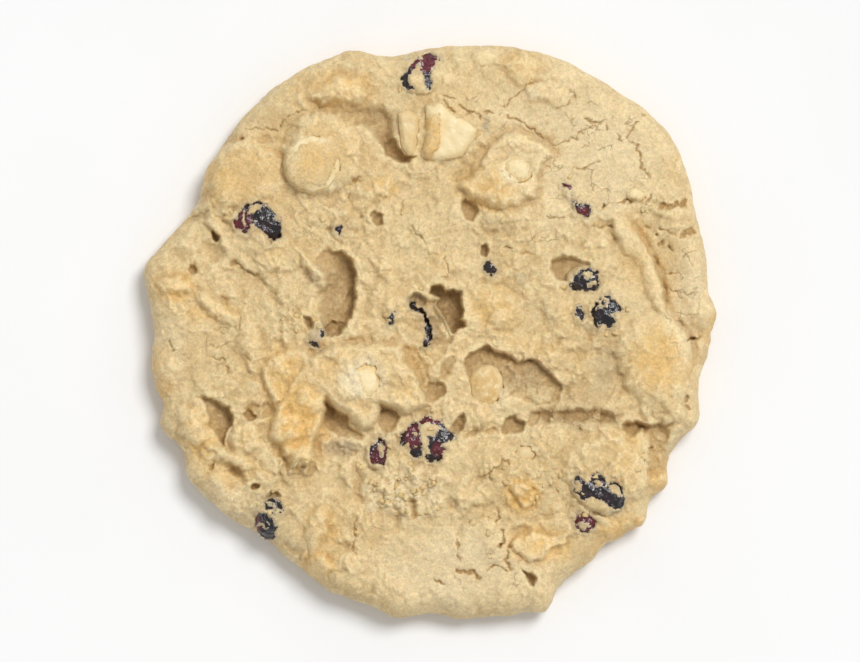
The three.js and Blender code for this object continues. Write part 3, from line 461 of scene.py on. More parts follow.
# Flecks of dough left on what shows: middle, half sizes and turn in degrees.
FLECKS = {
    "cranberry_01": [
        ((-37.2, 22.2), (0.35, 1.5), 4), ((-34.8, 24.2), (1.5, 0.8), 20), ((-30.3, 22.2), (0.7, 0.5), 0),
        ((-34.7, 21.8), (0.4, 0.4), 0),
    ],
    "cranberry_05": [((31.4, 11), (1.2, 0.7), 0), ((32.2, 9.4), (0.6, 0.3), 20)],
    "cranberry_06": [
        ((34, 5.2), (0.35, 0.9), 20), ((35.2, 6), (0.3, 0.9), 10), ((33.4, 4.2), (0.3, 0.3), 0),
        ((34.8, 4.6), (0.25, 0.3), 0),
    ],
    "cranberry_11": [((-3.1, -20.6), (0.5, 0.5), 0)],
    "cranberry_12": [((-9.9, -23.6), (0.5, 1.5), -8)],
    "cranberry_14": [
        ((-33.6, -39), (0.6, 0.4), 0), ((-31.2, -35), (1.8, 0.3), -35), ((-32.2, -33.9), (1, 0.25), -35),
    ],
    "cranberry_15": [
        ((29.5, -31), (0.9, 1.1), 0), ((33.2, -30.2), (0.8, 0.4), 0), ((36.6, -31.7), (1.6, 0.6), -45),
        ((31.4, -30), (0.4, 0.3), 0),
    ],
    "cranberry_16": [((30.7, -38.5), (0.9, 0.9), 0)],
    "white_chip_02": [((0.4, 38.8), (1.5, 4.6), -8)],
    "white_chip_05": [((14.6, -12.6), (0.9, 0.8), -40)],
}

# Thin flakes that lie on top: middle, half sizes, turn in degrees, thickness.
FLAKES = [((0.4, 38.8), (1.5, 4.6), -8, 0.9)]

# Browned tops: middle, half sizes, strength.
TOASTED = [
    ((-17.6, 48), (7, 4.6), 0.8), ((0.4, 38.8), (2.4, 5.4), 0.9), ((18.4, 52.6), (4.6, 4), 0.6),
    ((11.4, 28.6), (7, 5), 1), ((8.4, 29), (3, 3), 1), ((-9.4, 28.6), (4, 2.6), 0.7),
    ((-51, 8.6), (5, 4), 0.9), ((-43.6, 3.8), (7, 2.4), 0.6), ((-29.4, -8.6), (5.4, 7), 0.8),
    ((12, 4), (7, 6), 0.5), ((-26, -18), (6.6, 10), 1.3), ((18.6, -32.6), (4.4, 4), 1.6),
    ((21.4, -43), (7.4, 4.4), 1.6), ((16, -4), (12, 3), 0.3), ((-21.4, -39.2), (4.4, 5.2), 0.7),
    ((-22.2, -46.4), (4, 3.6), 1), ((46, -5.6), (8, 8), 0.8), ((41, 16), (4, 10), 0.4),
    ((-54, -8), (4, 10), 1), ((-42.4, 30), (5, 7), 0.7), ((-46, -21), (5, 7), 0.7),
    ((-19, -7), (6, 4), 0.5), ((40, -41), (9, 5), 0.9), ((46, -30), (4, 7), 0.5),
    ((-37, 31), (10, 8), 0.5), ((40, -24), (5, 8), 0.4), ((-23.4, 33.2), (5.4, 5.4), 0.5),
    ((55, 2), (3, 6), 0.5), ((-40, -28), (9, 4), 0.4), ((-6, -6), (6, 5), 0.3),
]

# Paler skin, and painted highlights on lumps and painted light on rims and rough ground that lie in shade:
# middle, half sizes, strength.
PALE_AND_HIGHLIGHTS = [
    ((30, 36), (22, 20), 0.3), ((-22.5, 11), (2.4, 2.6), 0.5), ((-11.6, -34.8), (1.4, 1.4), 0.6),
    ((20.5, 47.2), (1.8, 1.2), 0.8), ((8, -48), (24, 10), 0.35), ((-5, -32), (10, 6), 0.5),
    ((-52, -4), (4, 9), 0.4), ((-13.4, -9.4), (6, 5), 1), ((-11.4, -9), (2.4, 4.4), 1.1),
    ((13.8, -13.2), (3, 3.6), 0.5), ((17.2, 32), (4, 3.4), 1.1), ((19, -24), (2.2, 1.6), 0.7),
    ((-23.2, 38), (4, 0.9), 0.8), ((-20.6, 28.6), (3, 1), 0.8), ((52, 6), (5, 16), 0.4),
    ((-44, -36), (12, 8), 0.3),
]

# Grey-blue stains from the berries: middle, half sizes, strength.
STAINED = [
    ((-17.5, -23.4), (5, 2.2), 0.5), ((-2.4, 53.6), (2, 1.6), 0.5), ((-2.4, 6.4), (2.2, 1.6), 0.6),
    ((18.4, 10.2), (2, 2), 0.25), ((11.4, 41), (1.2, 2.6), 0.5), ((35, -7.8), (3, 6), 0.25),
    ((-22.4, -0.6), (1.6, 2.4), 0.6), ((30.6, -37.4), (3, 3), 0.3),
]

# Smooth skin: middle, half sizes, strength.
SKIN = [
    ((34, 38), (20, 17), 1), ((10, -46), (24, 10), 0.95), ((50, 10), (7, 15), 0.9),
    ((-46, -4), (8, 9), 0.5), ((2, 24), (10, 8), 0.6), ((14, 46), (14, 8), 0.9), ((-8, 46), (8, 7), 0.6),
    ((-36, 43), (12, 6), 0.7), ((-37, 31), (10, 7), 0.8), ((-22, 35), (9, 8), 0.7),
    ((45, -6), (8, 9), 0.6), ((43, 9), (5, 14), 1), ((39.4, 19.6), (4, 7), 1), ((-30, -8), (5, 6), 0.4),
]

# Skin that is crazed with hair cracks: middle, half sizes, strength.
CRAZED = [
    ((34, 36), (18, 17), 0.7), ((50, 8), (5, 16), 0.9), ((12, -47), (20, 8), 0.5), ((0, 20), (8, 8), 0.5),
    ((12, 44), (10, 6), 0.6), ((-20, 22), (10, 8), 0.6), ((-44, -2), (8, 10), 0.6),
    ((24, 20), (10, 8), 0.6), ((-16, -42), (10, 6), 0.5),
]

# Rough torn ground: middle, half sizes, strength.
ROUGH = [
    ((-5, -32.4), (9.6, 6.4), 1), ((33, -17.6), (6, 2.4), 1), ((25, -17), (6, 2.4), 0.8),
    ((44, 25), (6, 2), 0.6), ((21, -12), (5, 4), 0.4), ((-17.5, -23.6), (5, 2.2), 1),
    ((-43, -17), (3, 5), 0.4), ((44, -26), (3, 5), 0.6), ((20, -30), (8, 5), 0.5),
    ((-27, 3), (4, 4), 0.8), ((-27, -27), (5, 3), 0.6), ((-18, 27), (4, 3), 0.5),
    ((-11, 23), (4, 4), 0.4), ((12, -38), (6, 4), 0.3),
]

# Broken chunks that stand out of the dough, which closes round them.
CHUNKS = ("white_chip_02", "white_chip_03")

# Where berries are red: middle and half sizes.
RED_PLACES = [
    ((-37.4, 22), (2.4, 3)), ((-1.4, 53.4), (4, 2.4)), ((30.4, 23.8), (2, 1.2)), ((27.2, 28.2), (1.8, 2)),
    ((-0.2, -18), (3, 1.2)), ((-9.8, -24.4), (1.8, 2.6)), ((-3.2, -21), (2.4, 3)), ((30.8, -37.6), (3, 3)),
    ((-11.4, -25.4), (1.6, 1.6)), ((1.6, -23.6), (1.6, 1.8)), ((-34.6, -38.4), (1.4, 2)),
]

# How strongly each chip is browned, where it is more than a little.
CHIP_BROWNING = {"white_chip_02": 0.15, "white_chip_03": 0.9, "white_chip_05": 1.4, "white_chip_06": 0.2}

# How far in from its edge dough is smeared over a chip, where that isn't the usual 0.7 mm.
CHIP_FILM = {
    "white_chip_01": 0.2, "white_chip_03": 6, "white_chip_04": 3, "white_chip_05": 1.6,
    "white_chip_06": 1.8, "white_chip_07": 8, "white_chip_09": 1.4,
}


def smoothstep(low, high, value):
    """0 below the low value and 1 above the high one, smooth between them."""
    t = np.clip((value - low) / (high - low), 0, 1)
    return t * t * (3 - 2 * t)


def bell(value, width):
    """1 at 0, falling away to both sides."""
    return np.exp(-((value / width) ** 2))


def wave_noise(x, y, size, seed):
    """Smooth random waves between about -1 and 1, with swells of the given size."""
    count = 256
    reach = 1.5
    angles = np.random.default_rng(seed).uniform(0, 2 * math.pi, (count, count))
    u = x / size
    v = y / size
    column = np.floor(u).astype(int)
    row = np.floor(v).astype(int)
    fu = u - column
    fv = v - row

    def corner(right, up):
        angle = angles[(row + up) % count, (column + right) % count]
        return np.cos(angle) * (fu - right) + np.sin(angle) * (fv - up)

    def eased(t):
        return t * t * t * (t * (t * 6 - 15) + 10)

    su = eased(fu)
    sv = eased(fv)
    low = corner(0, 0) * (1 - su) + corner(1, 0) * su
    high = corner(0, 1) * (1 - su) + corner(1, 1) * su
    return reach * (low * (1 - sv) + high * sv)


def oval_distance(middle, radii, turn, x, y):
    """Distance from the middle of an oval, 1 on its edge."""
    angle = math.radians(turn)
    dx = x - middle[0]
    dy = y - middle[1]
    u = (dx * math.cos(angle) + dy * math.sin(angle)) / radii[0]
    v = (dy * math.cos(angle) - dx * math.sin(angle)) / radii[1]
    return np.hypot(u, v)


def inside_oval(middle, radii, turn, x, y):
    """About how far inside an oval each place lies."""
    return (1 - oval_distance(middle, radii, turn, x, y)) * min(radii)


def near_line(line, x, y):
    """Distance from a bent line, above 0 to the right of travel, and a fade towards both ends."""
    tie_width = 1e-6
    best = np.full(x.shape, np.inf)
    side = np.zeros(x.shape)
    along = np.zeros(x.shape)
    travelled = 0
    for (ax, ay), (bx, by) in zip(line, line[1:]):
        dx = bx - ax
        dy = by - ay
        length = math.hypot(dx, dy)
        t = np.clip(((x - ax) * dx + (y - ay) * dy) / length**2, 0, 1)
        distance = np.hypot(x - ax - t * dx, y - ay - t * dy)
        new_side = ((x - ax) * dy - (y - ay) * dx) / length
        tie = (np.abs(distance - best) < tie_width) & (np.abs(new_side) > np.abs(side))
        closer = (distance < best - tie_width) | tie
        best = np.where(closer, distance, best)
        side = np.where(closer, new_side, side)
        along = np.where(closer, travelled + t * length, along)
        travelled += length
    taper = LINE_TAPER * travelled
    fade = smoothstep(0, taper, along) * smoothstep(0, taper, travelled - along)
    return np.where(side < 0, -best, best), fade


def outline_distance(points, x, y):
    """Distance from a closed outline, above 0 inside it."""
    best = np.full(x.shape, np.inf)
    inside = np.zeros(x.shape, bool)
    for (ax, ay), (bx, by) in zip(points, points[1:] + points[:1]):
        dx = bx - ax
        dy = by - ay
        t = np.clip(((x - ax) * dx + (y - ay) * dy) / (dx * dx + dy * dy), 0, 1)
        best = np.minimum(best, np.hypot(x - ax - t * dx, y - ay - t * dy))
        if dy != 0:
            inside ^= ((ay > y) != (by > y)) & (x < dx * (y - ay) / dy + ax)
    return np.where(inside, best, -best)


def rim_radius(angle, narrow=1):
    """Radius of the outline in each direction, with a share of its narrow swells."""
    radius = np.full(np.shape(angle), float(RIM_RADIUS))
    for direction, spread, swell in RIM_LOBES:
        apart = np.degrees(angle) - direction
        apart = apart - 360 * np.round(apart / 360)
        share = narrow if spread < NARROW_LOBE else 1
        radius = radius + share * swell * np.exp(-0.5 * (apart / spread) ** 2)
    return radius


def outline_middle():
    """Middle of the outline's box, which is the origin of the frame."""
    angle = np.linspace(0, 2 * math.pi, 720, endpoint=False)
    radius = rim_radius(angle)
    x = radius * np.cos(angle)
    y = radius * np.sin(angle)
    return (x.min() + x.max()) / 2, (y.min() + y.max()) / 2


MIDDLE_X, MIDDLE_Y = outline_middle()

# The grid that holds the height map, and the same places wobbled so that every edge comes out ragged.
grid_line = np.arange(-GRID_HALF, GRID_HALF + GRID_STEP / 2, GRID_STEP)
GRID_X, GRID_Y = np.meshgrid(grid_line, grid_line)


def wobble(seed):
    """A shift for each place of the grid."""
    shifts = [far * wave_noise(GRID_X, GRID_Y, size, seed + i) for i, (far, size) in enumerate(WOBBLES)]
    return sum(shifts)


WOBBLE_X = GRID_X + wobble(1)
WOBBLE_Y = GRID_Y + wobble(5)


def grid_noise(size, seed, area=slice(None)):
    """Smooth random waves over an area of the grid, or over all of it."""
    return wave_noise(GRID_X[area], GRID_Y[area], size, seed)


def around(points, margin):
    """The rows and columns of the grid that hold these points, with a margin."""
    def span(values):
        first = int((min(values) - margin + GRID_HALF) / GRID_STEP)
        last = int((max(values) + margin + GRID_HALF) / GRID_STEP) + 2
        return slice(max(0, first), min(len(grid_line), last))

    return span([p[1] for p in points]), span([p[0] for p in points])


def wobbled_grid(area, share):
    """The places of an area, moved by a share of the wobble."""
    x = GRID_X[area] + share * (WOBBLE_X[area] - GRID_X[area])
    y = GRID_Y[area] + share * (WOBBLE_Y[area] - GRID_Y[area])
    return x, y


def at_least(field, area, values):
    """Raises an area of a field to these values."""
    field[area] = np.maximum(field[area], values)


def blur(field, size):
    """The field averaged over a bell of the given size."""
    wave = np.fft.fftfreq(field.shape[0], GRID_STEP)
    share = np.exp(-2 * (math.pi * size * wave) ** 2)
    return np.real(np.fft.ifft2(np.fft.fft2(field) * share[:, None] * share[None, :]))


def sample(field, x, y):
    """Values of a grid field at any places."""
    last = len(grid_line) - 1.001
    u = np.clip((x + GRID_HALF) / GRID_STEP, 0, last)
    v = np.clip((y + GRID_HALF) / GRID_STEP, 0, last)
    column = np.floor(u).astype(int)
    row = np.floor(v).astype(int)
    fu = u - column
    fv = v - row
    low = field[row, column] * (1 - fu) + field[row, column + 1] * fu
    high = field[row + 1, column] * (1 - fu) + field[row + 1, column + 1] * fu
    return low * (1 - fv) + high * fv


def spots(table):
    """A soft field from a table of ovals: the strongest wins."""
    core = 0.35
    edge = 1.15
    field = np.zeros(GRID_X.shape)
    for middle, radii, strength in table:
        distance = oval_distance(middle, radii, 0, WOBBLE_X, WOBBLE_Y)
        field = np.maximum(field, strength * (1 - smoothstep(core, edge, distance)))
    return field


def pillow(inside):
    """Rises steeply at the edge and flattens out: 0 at the edge, 1 well inside."""
    return 1 - (1 - np.clip(inside, 0, 1)) ** 2


def base_height():
    """The dome with its swellings and plates, as in the solid."""
    height = SHOULDER_HEIGHT + CROWN_RISE * (1 - (np.hypot(GRID_X, GRID_Y) / RIM_RADIUS) ** 2)
    for rise, right, far in SWELLS:
        height += rise * np.sin(right * GRID_X + far * GRID_Y)
    for middle, radii, turn, rise, reach in LUMPS:
        inside = inside_oval(middle, radii, turn, WOBBLE_X, WOBBLE_Y)
        height += rise * pillow(inside / min(reach, min(radii)))
    plates = np.zeros(GRID_X.shape)
    creases = np.zeros(GRID_X.shape)
    for rise, reach, outline in PLATES:
        area = around(outline, 2)
        inside = outline_distance(outline, *wobbled_grid(area, PLATE_RAGGEDNESS))
        at_least(plates, area, rise * pillow(inside / reach))
        uneven = np.clip(0.8 + grid_noise(4, 38, area), 0, 1.5)
        at_least(creases, area, PLATE_CREASE * rise * uneven * bell(inside + 0.4, 0.45))
    return height + plates - creases * (1 - smoothstep(0, 0.3, plates))


def tear_ledges(height):
    """Steps where an upper layer of dough ends: a small lip, a steep face and a crease at the foot."""
    ragged_edges = [(1, edge) for edge in LEDGES] + [(FOLD_RAGGEDNESS, edge) for edge in FOLDS]
    for ragged, (drop, reach, line) in ragged_edges:
        area = around(line, reach)
        side, fade = near_line(line, *wobbled_grid(area, ragged))
        fade = fade * np.clip(0.95 + 0.9 * ragged * grid_noise(5, 34, area), 0, 2)
        face = LEDGE_FACE * (1.3 + 1.1 * ragged * grid_noise(3, 35, area))
        lower = smoothstep(-0.1, face, side) * (1 - smoothstep(LEDGE_FACE, reach, side))
        lip = LEDGE_LIP * bell(side + 0.7, 0.7)
        crease = LEDGE_CREASE * bell(side - 0.9, 0.5)
        height[area] -= drop * fade * (lower + crease - lip)


def along_line(half_width, line):
    """The area round a bent line, and how much of each place in it the line takes up."""
    area = around(line, half_width + 1)
    side, fade = near_line(line, WOBBLE_X[area], WOBBLE_Y[area])
    return area, fade * (1 - smoothstep(0, half_width, np.abs(side)))


def dig_hollows(height):
    """Caves, pits and grooves with tongues standing in them. Gives back their depth and their painted
    shade.
    """
    cut = np.zeros(height.shape)
    shaded = np.zeros(height.shape)
    # Each hollow gets painted shade, darker where it is deeper; the tongues standing in them get less.
    for depth, wall, lean, outline in CAVES:
        area = around(outline, 1)
        x, y = wobbled_grid(area, CAVE_RAGGEDNESS)
        middle = np.mean(outline, axis=0)
        floor = np.maximum(0, depth + lean[0] * (x - middle[0]) + lean[1] * (y - middle[1]))
        inside = outline_distance(outline, x, y)
        uneven_wall = wall * (0.9 + 0.7 * grid_noise(2.6, 36, area))
        at_least(cut, area, floor * smoothstep(-0.15, uneven_wall, inside))
        at_least(shaded, area, smoothstep(0.4, 3, floor) * smoothstep(0, 0.5, inside))
    for middle, radii, turn, depth in PITS:
        area = around([middle], max(radii) + 1)
        distance = oval_distance(middle, radii, turn, WOBBLE_X[area], WOBBLE_Y[area])
        at_least(cut, area, depth * (1 - smoothstep(0.6, 1.1, distance)))
        at_least(shaded, area, smoothstep(0.2, 2.6, depth) * (1 - smoothstep(0.75, 1.05, distance)))
    for half_width, depth, line in GROOVES:
        area, open_share = along_line(half_width, line)
        at_least(cut, area, depth * open_share)
        at_least(shaded, area, GROOVE_SHADE * smoothstep(0.2, 3.4, depth) * open_share)
    for half_width, rise, line in TONGUES:
        area, stands = along_line(half_width, line)
        cut[area] -= rise * stands
        shaded[area] *= 1 - 0.7 * stands
    height -= cut
    return cut, shaded


def open_cracks(height):
    """Fine cracks of uneven width. Gives back how strongly each place is cracked."""
    cracked = np.zeros(height.shape)
    deepened = np.zeros(height.shape)
    for half_width, line in CRACKS:
        area = around(line, 1.5)
        jag_x = WOBBLE_X[area] + CRACK_JAGS * grid_noise(0.7, 32, area)
        jag_y = WOBBLE_Y[area] + CRACK_JAGS * grid_noise(0.7, 33, area)
        side, fade = near_line(line, jag_x, jag_y)
        width = 0.8 * half_width * (1 + 0.7 * grid_noise(1.4, 31, area))
        open_share = np.sqrt(fade) * (1 - smoothstep(0.3, 1.2, np.abs(side) / width))
        at_least(cracked, area, open_share)
        at_least(deepened, area, (CRACK_DEPTH + half_width) * open_share)
    height -= deepened
    return cracked


def folds(size, seed):
    """Rounded lumps pressed against each other, with creases between them, from 0 to about 1."""
    return np.abs(wave_noise(WOBBLE_X, WOBBLE_Y, size, seed))


def chance(x, y, seed):
    """A random number from 0 to 1 for each whole place."""
    return np.modf(np.abs(np.sin(12.9898 * x + 78.233 * y + 37.719 * seed)) * 43758.5453)[0]


def crumble(size, seed):
    """Broken pieces with gaps between them, each with its own height from 0 to 1."""
    x = WOBBLE_X / size
    y = WOBBLE_Y / size
    nearest = np.full(x.shape, 9.0)
    second = np.full(x.shape, 9.0)
    level = np.zeros(x.shape)
    for step_x, step_y in itertools.product((-1, 0, 1), repeat=2):
        cell_x = np.floor(x) + step_x
        cell_y = np.floor(y) + step_y
        piece_x = x - cell_x - chance(cell_x, cell_y, seed)
        piece_y = y - cell_y - chance(cell_x, cell_y, seed + 1)
        distance = np.hypot(piece_x, piece_y)
        second = np.where(distance < nearest, nearest, np.minimum(second, distance))
        level = np.where(distance < nearest, chance(cell_x, cell_y, seed + 2), level)
        nearest = np.minimum(nearest, distance)
    return level * smoothstep(0.02, 0.3, second - nearest)


def lay_flakes(height, ground, size, count, thickness, seed):
    """Ragged flakes over each other, each thick at one edge and running out to nothing at the other."""
    draw = np.random.default_rng(seed)
    layer = np.zeros(height.shape)
    for _ in range(count):
        middle = draw.uniform(-RIM_RADIUS, RIM_RADIUS, 2)
        length = size * draw.uniform(0.5, 1.5)
        radii = (length, length * draw.uniform(0.45, 1))
        turn = draw.uniform(0, 360)
        lean = draw.uniform(0, 2 * math.pi)
        area = around([middle], 1.2 * length)
        x = WOBBLE_X[area]
        y = WOBBLE_Y[area]
        downhill = (x - middle[0]) * math.cos(lean) + (y - middle[1]) * math.sin(lean)
        slope = 0.5 + 0.5 * downhill / length
        edge = 1 - smoothstep(1 - 0.4 / radii[1], 1, oval_distance(middle, radii, turn, x, y))
        layer[area] += np.clip(slope, 0, 1) * edge
    height += thickness * ground * (layer - blur(layer, 1.5 * size))


def roughen(height, rough, skin):
    """Swells, lumps, crumbs and flakes of the baked surface: weak on skin, strong on torn ground."""
    lumpy = 1 - 0.85 * skin
    relief = [
        (0.3, 0, 0, grid_noise(8, 11)),
        (0, 0.5, 0, folds(5, 13) - 0.3),
        (0.06, 0.2, 0, folds(2.2, 14) - 0.3),
        (0.07, 0.08, 0.1, grid_noise(0.7, 16)),
        (0, 0.08, 0.4, crumble(1.3, 18) - 0.3),
    ]
    for anywhere, on_lumpy, on_torn, field in relief:
        height += (anywhere + on_lumpy * lumpy + on_torn * rough) * field
    for i, (size, count, thickness, anywhere, on_lumpy, on_torn) in enumerate(FLAKE_LAYERS):
        ground = anywhere + on_lumpy * lumpy + on_torn * rough
        lay_flakes(height, ground, size, count, thickness, 51 + i)


def is_berry(node):
    """Whether a node is a berry, and not a chip."""
    return node.startswith("cranberry")


def refined(node, smoothing):
    """A fine copy of a CAD solid: a ball of triangles drawn onto it from its middle."""
    low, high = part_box(node)
    middle = (low + high) / 2
    size = (high - low) / 2
    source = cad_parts[node].data
    corners = [v.co for v in source.vertices]
    tree = BVHTree.FromPolygons(corners, [p.vertices[:] for p in source.polygons])
    shape = bmesh.new()
    bmesh.ops.create_icosphere(shape, subdivisions=INCLUSION_DETAIL, radius=1)
    for vertex in shape.verts:
        direction = Vector(a * b for a, b in zip(vertex.co, size)).normalized()
        vertex.co = tree.ray_cast(middle, direction)[0]
    every_axis = {"use_axis_x": True, "use_axis_y": True, "use_axis_z": True}
    for _ in range(smoothing):
        bmesh.ops.smooth_vert(shape, verts=shape.verts, factor=0.5, **every_axis)
    shape.normal_update()
    return shape


def wrinkle(shape, size, depth):
    """Presses furrows into a shape."""
    deepest = 0.7
    moves = []
    for vertex in shape.verts:
        place = vertex.co / (size * MM)
        fold = abs(solid_noise.noise(place)) + 0.5 * abs(solid_noise.noise(2.1 * place + Vector((7, 3, 5))))
        moves.append(vertex.normal * (depth * MM * (min(fold, deepest) / deepest - 0.6)))
    for vertex, move in zip(shape.verts, moves):
        vertex.co += move
    shape.normal_update()


def make_inclusion(node):
    """The fine shape of a berry or chip."""
    if is_berry(node):
        shape = refined(node, smoothing=3)
        wrinkle(shape, size=1.9, depth=0.5)
    else:
        shape = refined(node, smoothing=2)
        wrinkle(shape, size=3.4, depth=0.16)
    return shape


def finish_piece(name, mesh, node, material):
    """Makes the object that stands for a CAD node."""
    for polygon in mesh.polygons:
        polygon.use_smooth = True
    mesh.materials.append(material)
    piece = bpy.data.objects.new(name, mesh)
    bpy.context.scene.collection.objects.link(piece)
    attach(piece, "root")
    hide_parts(node)


def tops(shape, x, y):
    """How high a shape reaches at each place, and not a number beside it."""
    tree = BVHTree.FromBMesh(shape)
    above = 0.05
    top = np.full(x.shape, np.nan)
    for index in np.ndindex(x.shape):
        start = Vector(((x[index] - MIDDLE_X) * MM, (y[index] - MIDDLE_Y) * MM, above))
        hit = tree.ray_cast(start, Vector((0, 0, -1)))[0]
        if hit is not None:
            top[index] = hit.z / MM
    return top


def openness(node, area):
    """How far inside the places where an inclusion shows each place lies."""
    x = WOBBLE_X[area]
    y = WOBBLE_Y[area]
    opened = np.full(x.shape, -np.inf)
    for outline in WINDOWS[node]:
        opened = np.maximum(opened, outline_distance(outline, x, y))
    for middle, radii, turn in FLECKS.get(node, []):
        opened = np.minimum(opened, -inside_oval(middle, radii, turn, x, y))
    stuck = smoothstep(0.5, 0.7, wave_noise(x, y, 1.3, 41))
    return opened - 1.5 * stuck * is_berry(node) + 0.3 * grid_noise(0.6, 42, area)


def open_windows(node, shape, height, rounding):
    """Lays the dough over an inclusion, open where that shows. Gives back the area and its openness."""
    cover = BERRY_COVER if is_berry(node) else CHIP_COVER
    corners = [(v.co.x / MM + MIDDLE_X, v.co.y / MM + MIDDLE_Y) for v in shape.verts]
    area = around(corners, 1.5)
    top = tops(shape, GRID_X[area], GRID_Y[area])
    covered = ~np.isnan(top)
    lowest = np.nanmin(top)
    top = np.where(covered, top, lowest)
    opened = openness(node, area)
    z = WAIST_HEIGHT + (height[area] - WAIST_HEIGHT) * rounding[area]
    if not is_berry(node) and node not in CHUNKS:
        shown = np.zeros(GRID_X.shape)
        shown[area] = covered & (opened > 0)
        too_high = np.zeros(GRID_X.shape)
        too_high[area] = shown[area] * np.maximum(0, z - top - cover)
        lowered = blur(too_high, CHIP_SLOPE) / np.maximum(blur(shown, CHIP_SLOPE), 0.001)
        z = z - lowered[area] * smoothstep(-CHIP_SLOPE, 0.1, opened)
    lid = np.where(covered, np.maximum(z, top + cover), z)
    below = np.minimum(z, top - WINDOW_DEPTH)
    share = covered * smoothstep(-0.1, 0.1, opened)
    if node in CHUNKS:
        share = share * smoothstep(-0.5, -0.1, top - z)
    z = lid * (1 - share) + below * share
    height[area] = WAIST_HEIGHT + (z - WAIST_HEIGHT) / rounding[area]
    return area, opened


def ring_places(ring, height):
    """Places of one ring of the dough: over the top, round the shoulder or down to the foot."""
    angle = 2 * math.pi * np.arange(6 * ring) / (6 * ring)
    tuck = max(0, ring - TOP_RINGS - SHOULDER_RINGS) / FOOT_RINGS * math.pi / 2
    radius = rim_radius(angle, 1 - FLUTE_FADE * math.sin(tuck))
    down = SIDE_STEP * max(0, ring - TOP_RINGS)
    side_x = RIM_RADIUS * np.cos(angle) + down
    side_y = RIM_RADIUS * np.sin(angle) - down
    for i, (far, size) in enumerate(SIDE_WAVES):
        radius = radius + far * wave_noise(side_x, side_y, size, 21 + i)
    on_top = ring <= TOP_RINGS + SHOULDER_RINGS
    bend = max(0, ring - TOP_RINGS) / SHOULDER_RINGS * math.pi / 2
    if on_top:
        out = math.sin(bend) ** (2 / SHOULDER_POWER)
        reach = (radius - SHOULDER_WIDTH) * min(1, ring / TOP_RINGS) + SHOULDER_WIDTH * out
    else:
        reach = radius - FOOT_TUCK * (1 - math.cos(tuck))
    x = reach * np.cos(angle)
    y = reach * np.sin(angle)
    if on_top:
        share = max(0, math.cos(bend)) ** (2 / SHOULDER_POWER)
        z = WAIST_HEIGHT + (sample(height, x, y) - WAIST_HEIGHT) * share
    else:
        z = np.full(6 * ring, WAIST_HEIGHT * (1 - math.sin(tuck)))
    return np.stack([x, y, z], axis=1)


def dough_rings(height):
    """Vertices and triangles of the dough: rings of six sectors from the middle of the top to the foot."""
    rings = TOP_RINGS + SHOULDER_RINGS + FOOT_RINGS
    parts = [np.array([[0, 0, sample(height, np.zeros(1), np.zeros(1))[0]]])]
    triangles = []
    inner = 0
    outer = 1
    for ring in range(1, rings + 1):
        count = 6 * ring
        parts.append(ring_places(ring, height))
        inner_count = max(1, 6 * (ring - 1))
        sector = np.repeat(np.arange(6), ring)
        step = np.tile(np.arange(ring), 6)
        a = inner + (sector * (ring - 1) + step) % inner_count
        b = outer + sector * ring + step
        c = outer + (sector * ring + step + 1) % count
        triangles.append(np.stack([a, b, c], axis=1))
        filled = step + 1 < ring
        d = inner + (sector * (ring - 1) + step + 1) % inner_count
        triangles.append(np.stack([a, c, d], axis=1)[filled])
        inner = outer
        outer += count
    parts.append(np.zeros((1, 3)))
    step = np.arange(6 * rings)
    foot = np.full(6 * rings, outer)
    triangles.append(np.stack([foot, inner + (step + 1) % (6 * rings), inner + step], axis=1))
    return np.concatenate(parts), np.concatenate(triangles)


def mesh_from(name, places, triangles):
    """A Blender mesh from arrays of places in mm and triangles."""
    mesh = bpy.data.meshes.new(name)
    mesh.vertices.add(len(places))
    mesh.vertices.foreach_set("co", (places * MM).astype(np.float32).ravel())
    mesh.loops.add(3 * len(triangles))
    mesh.loops.foreach_set("vertex_index", triangles.astype(np.int32).ravel())
    mesh.polygons.add(len(triangles))
    mesh.polygons.foreach_set("loop_start", np.arange(0, 3 * len(triangles), 3, dtype=np.int32))
    mesh.update(calc_edges=True)
    mesh.validate()
    return mesh


def thinned(mesh, triangle_count):
    """The mesh with its flat stretches thinned out to about so many triangles."""
    holder = bpy.data.objects.new("thinning", mesh)
    bpy.context.scene.collection.objects.link(holder)
    modifier = holder.modifiers.new("thin", "DECIMATE")
    modifier.ratio = triangle_count / len(mesh.polygons)
    graph = bpy.context.evaluated_depsgraph_get()
    result = bpy.data.meshes.new_from_object(holder.evaluated_get(graph))
    bpy.data.objects.remove(holder)
    result.name = "dough"
    return result


def add_values(mesh, name, values):
    """Stores one value for each vertex."""
    mesh.attributes.new(name, "FLOAT", "POINT").data.foreach_set("value", values.astype(np.float32))


def srgb(red, green, blue):
    """A colour from display values of 0 to 255."""
    shares = [value / 255 for value in (red, green, blue)]
    return tuple(s / 12.92 if s <= 0.04045 else ((s + 0.055) / 1.055) ** 2.4 for s in shares) + (1,)


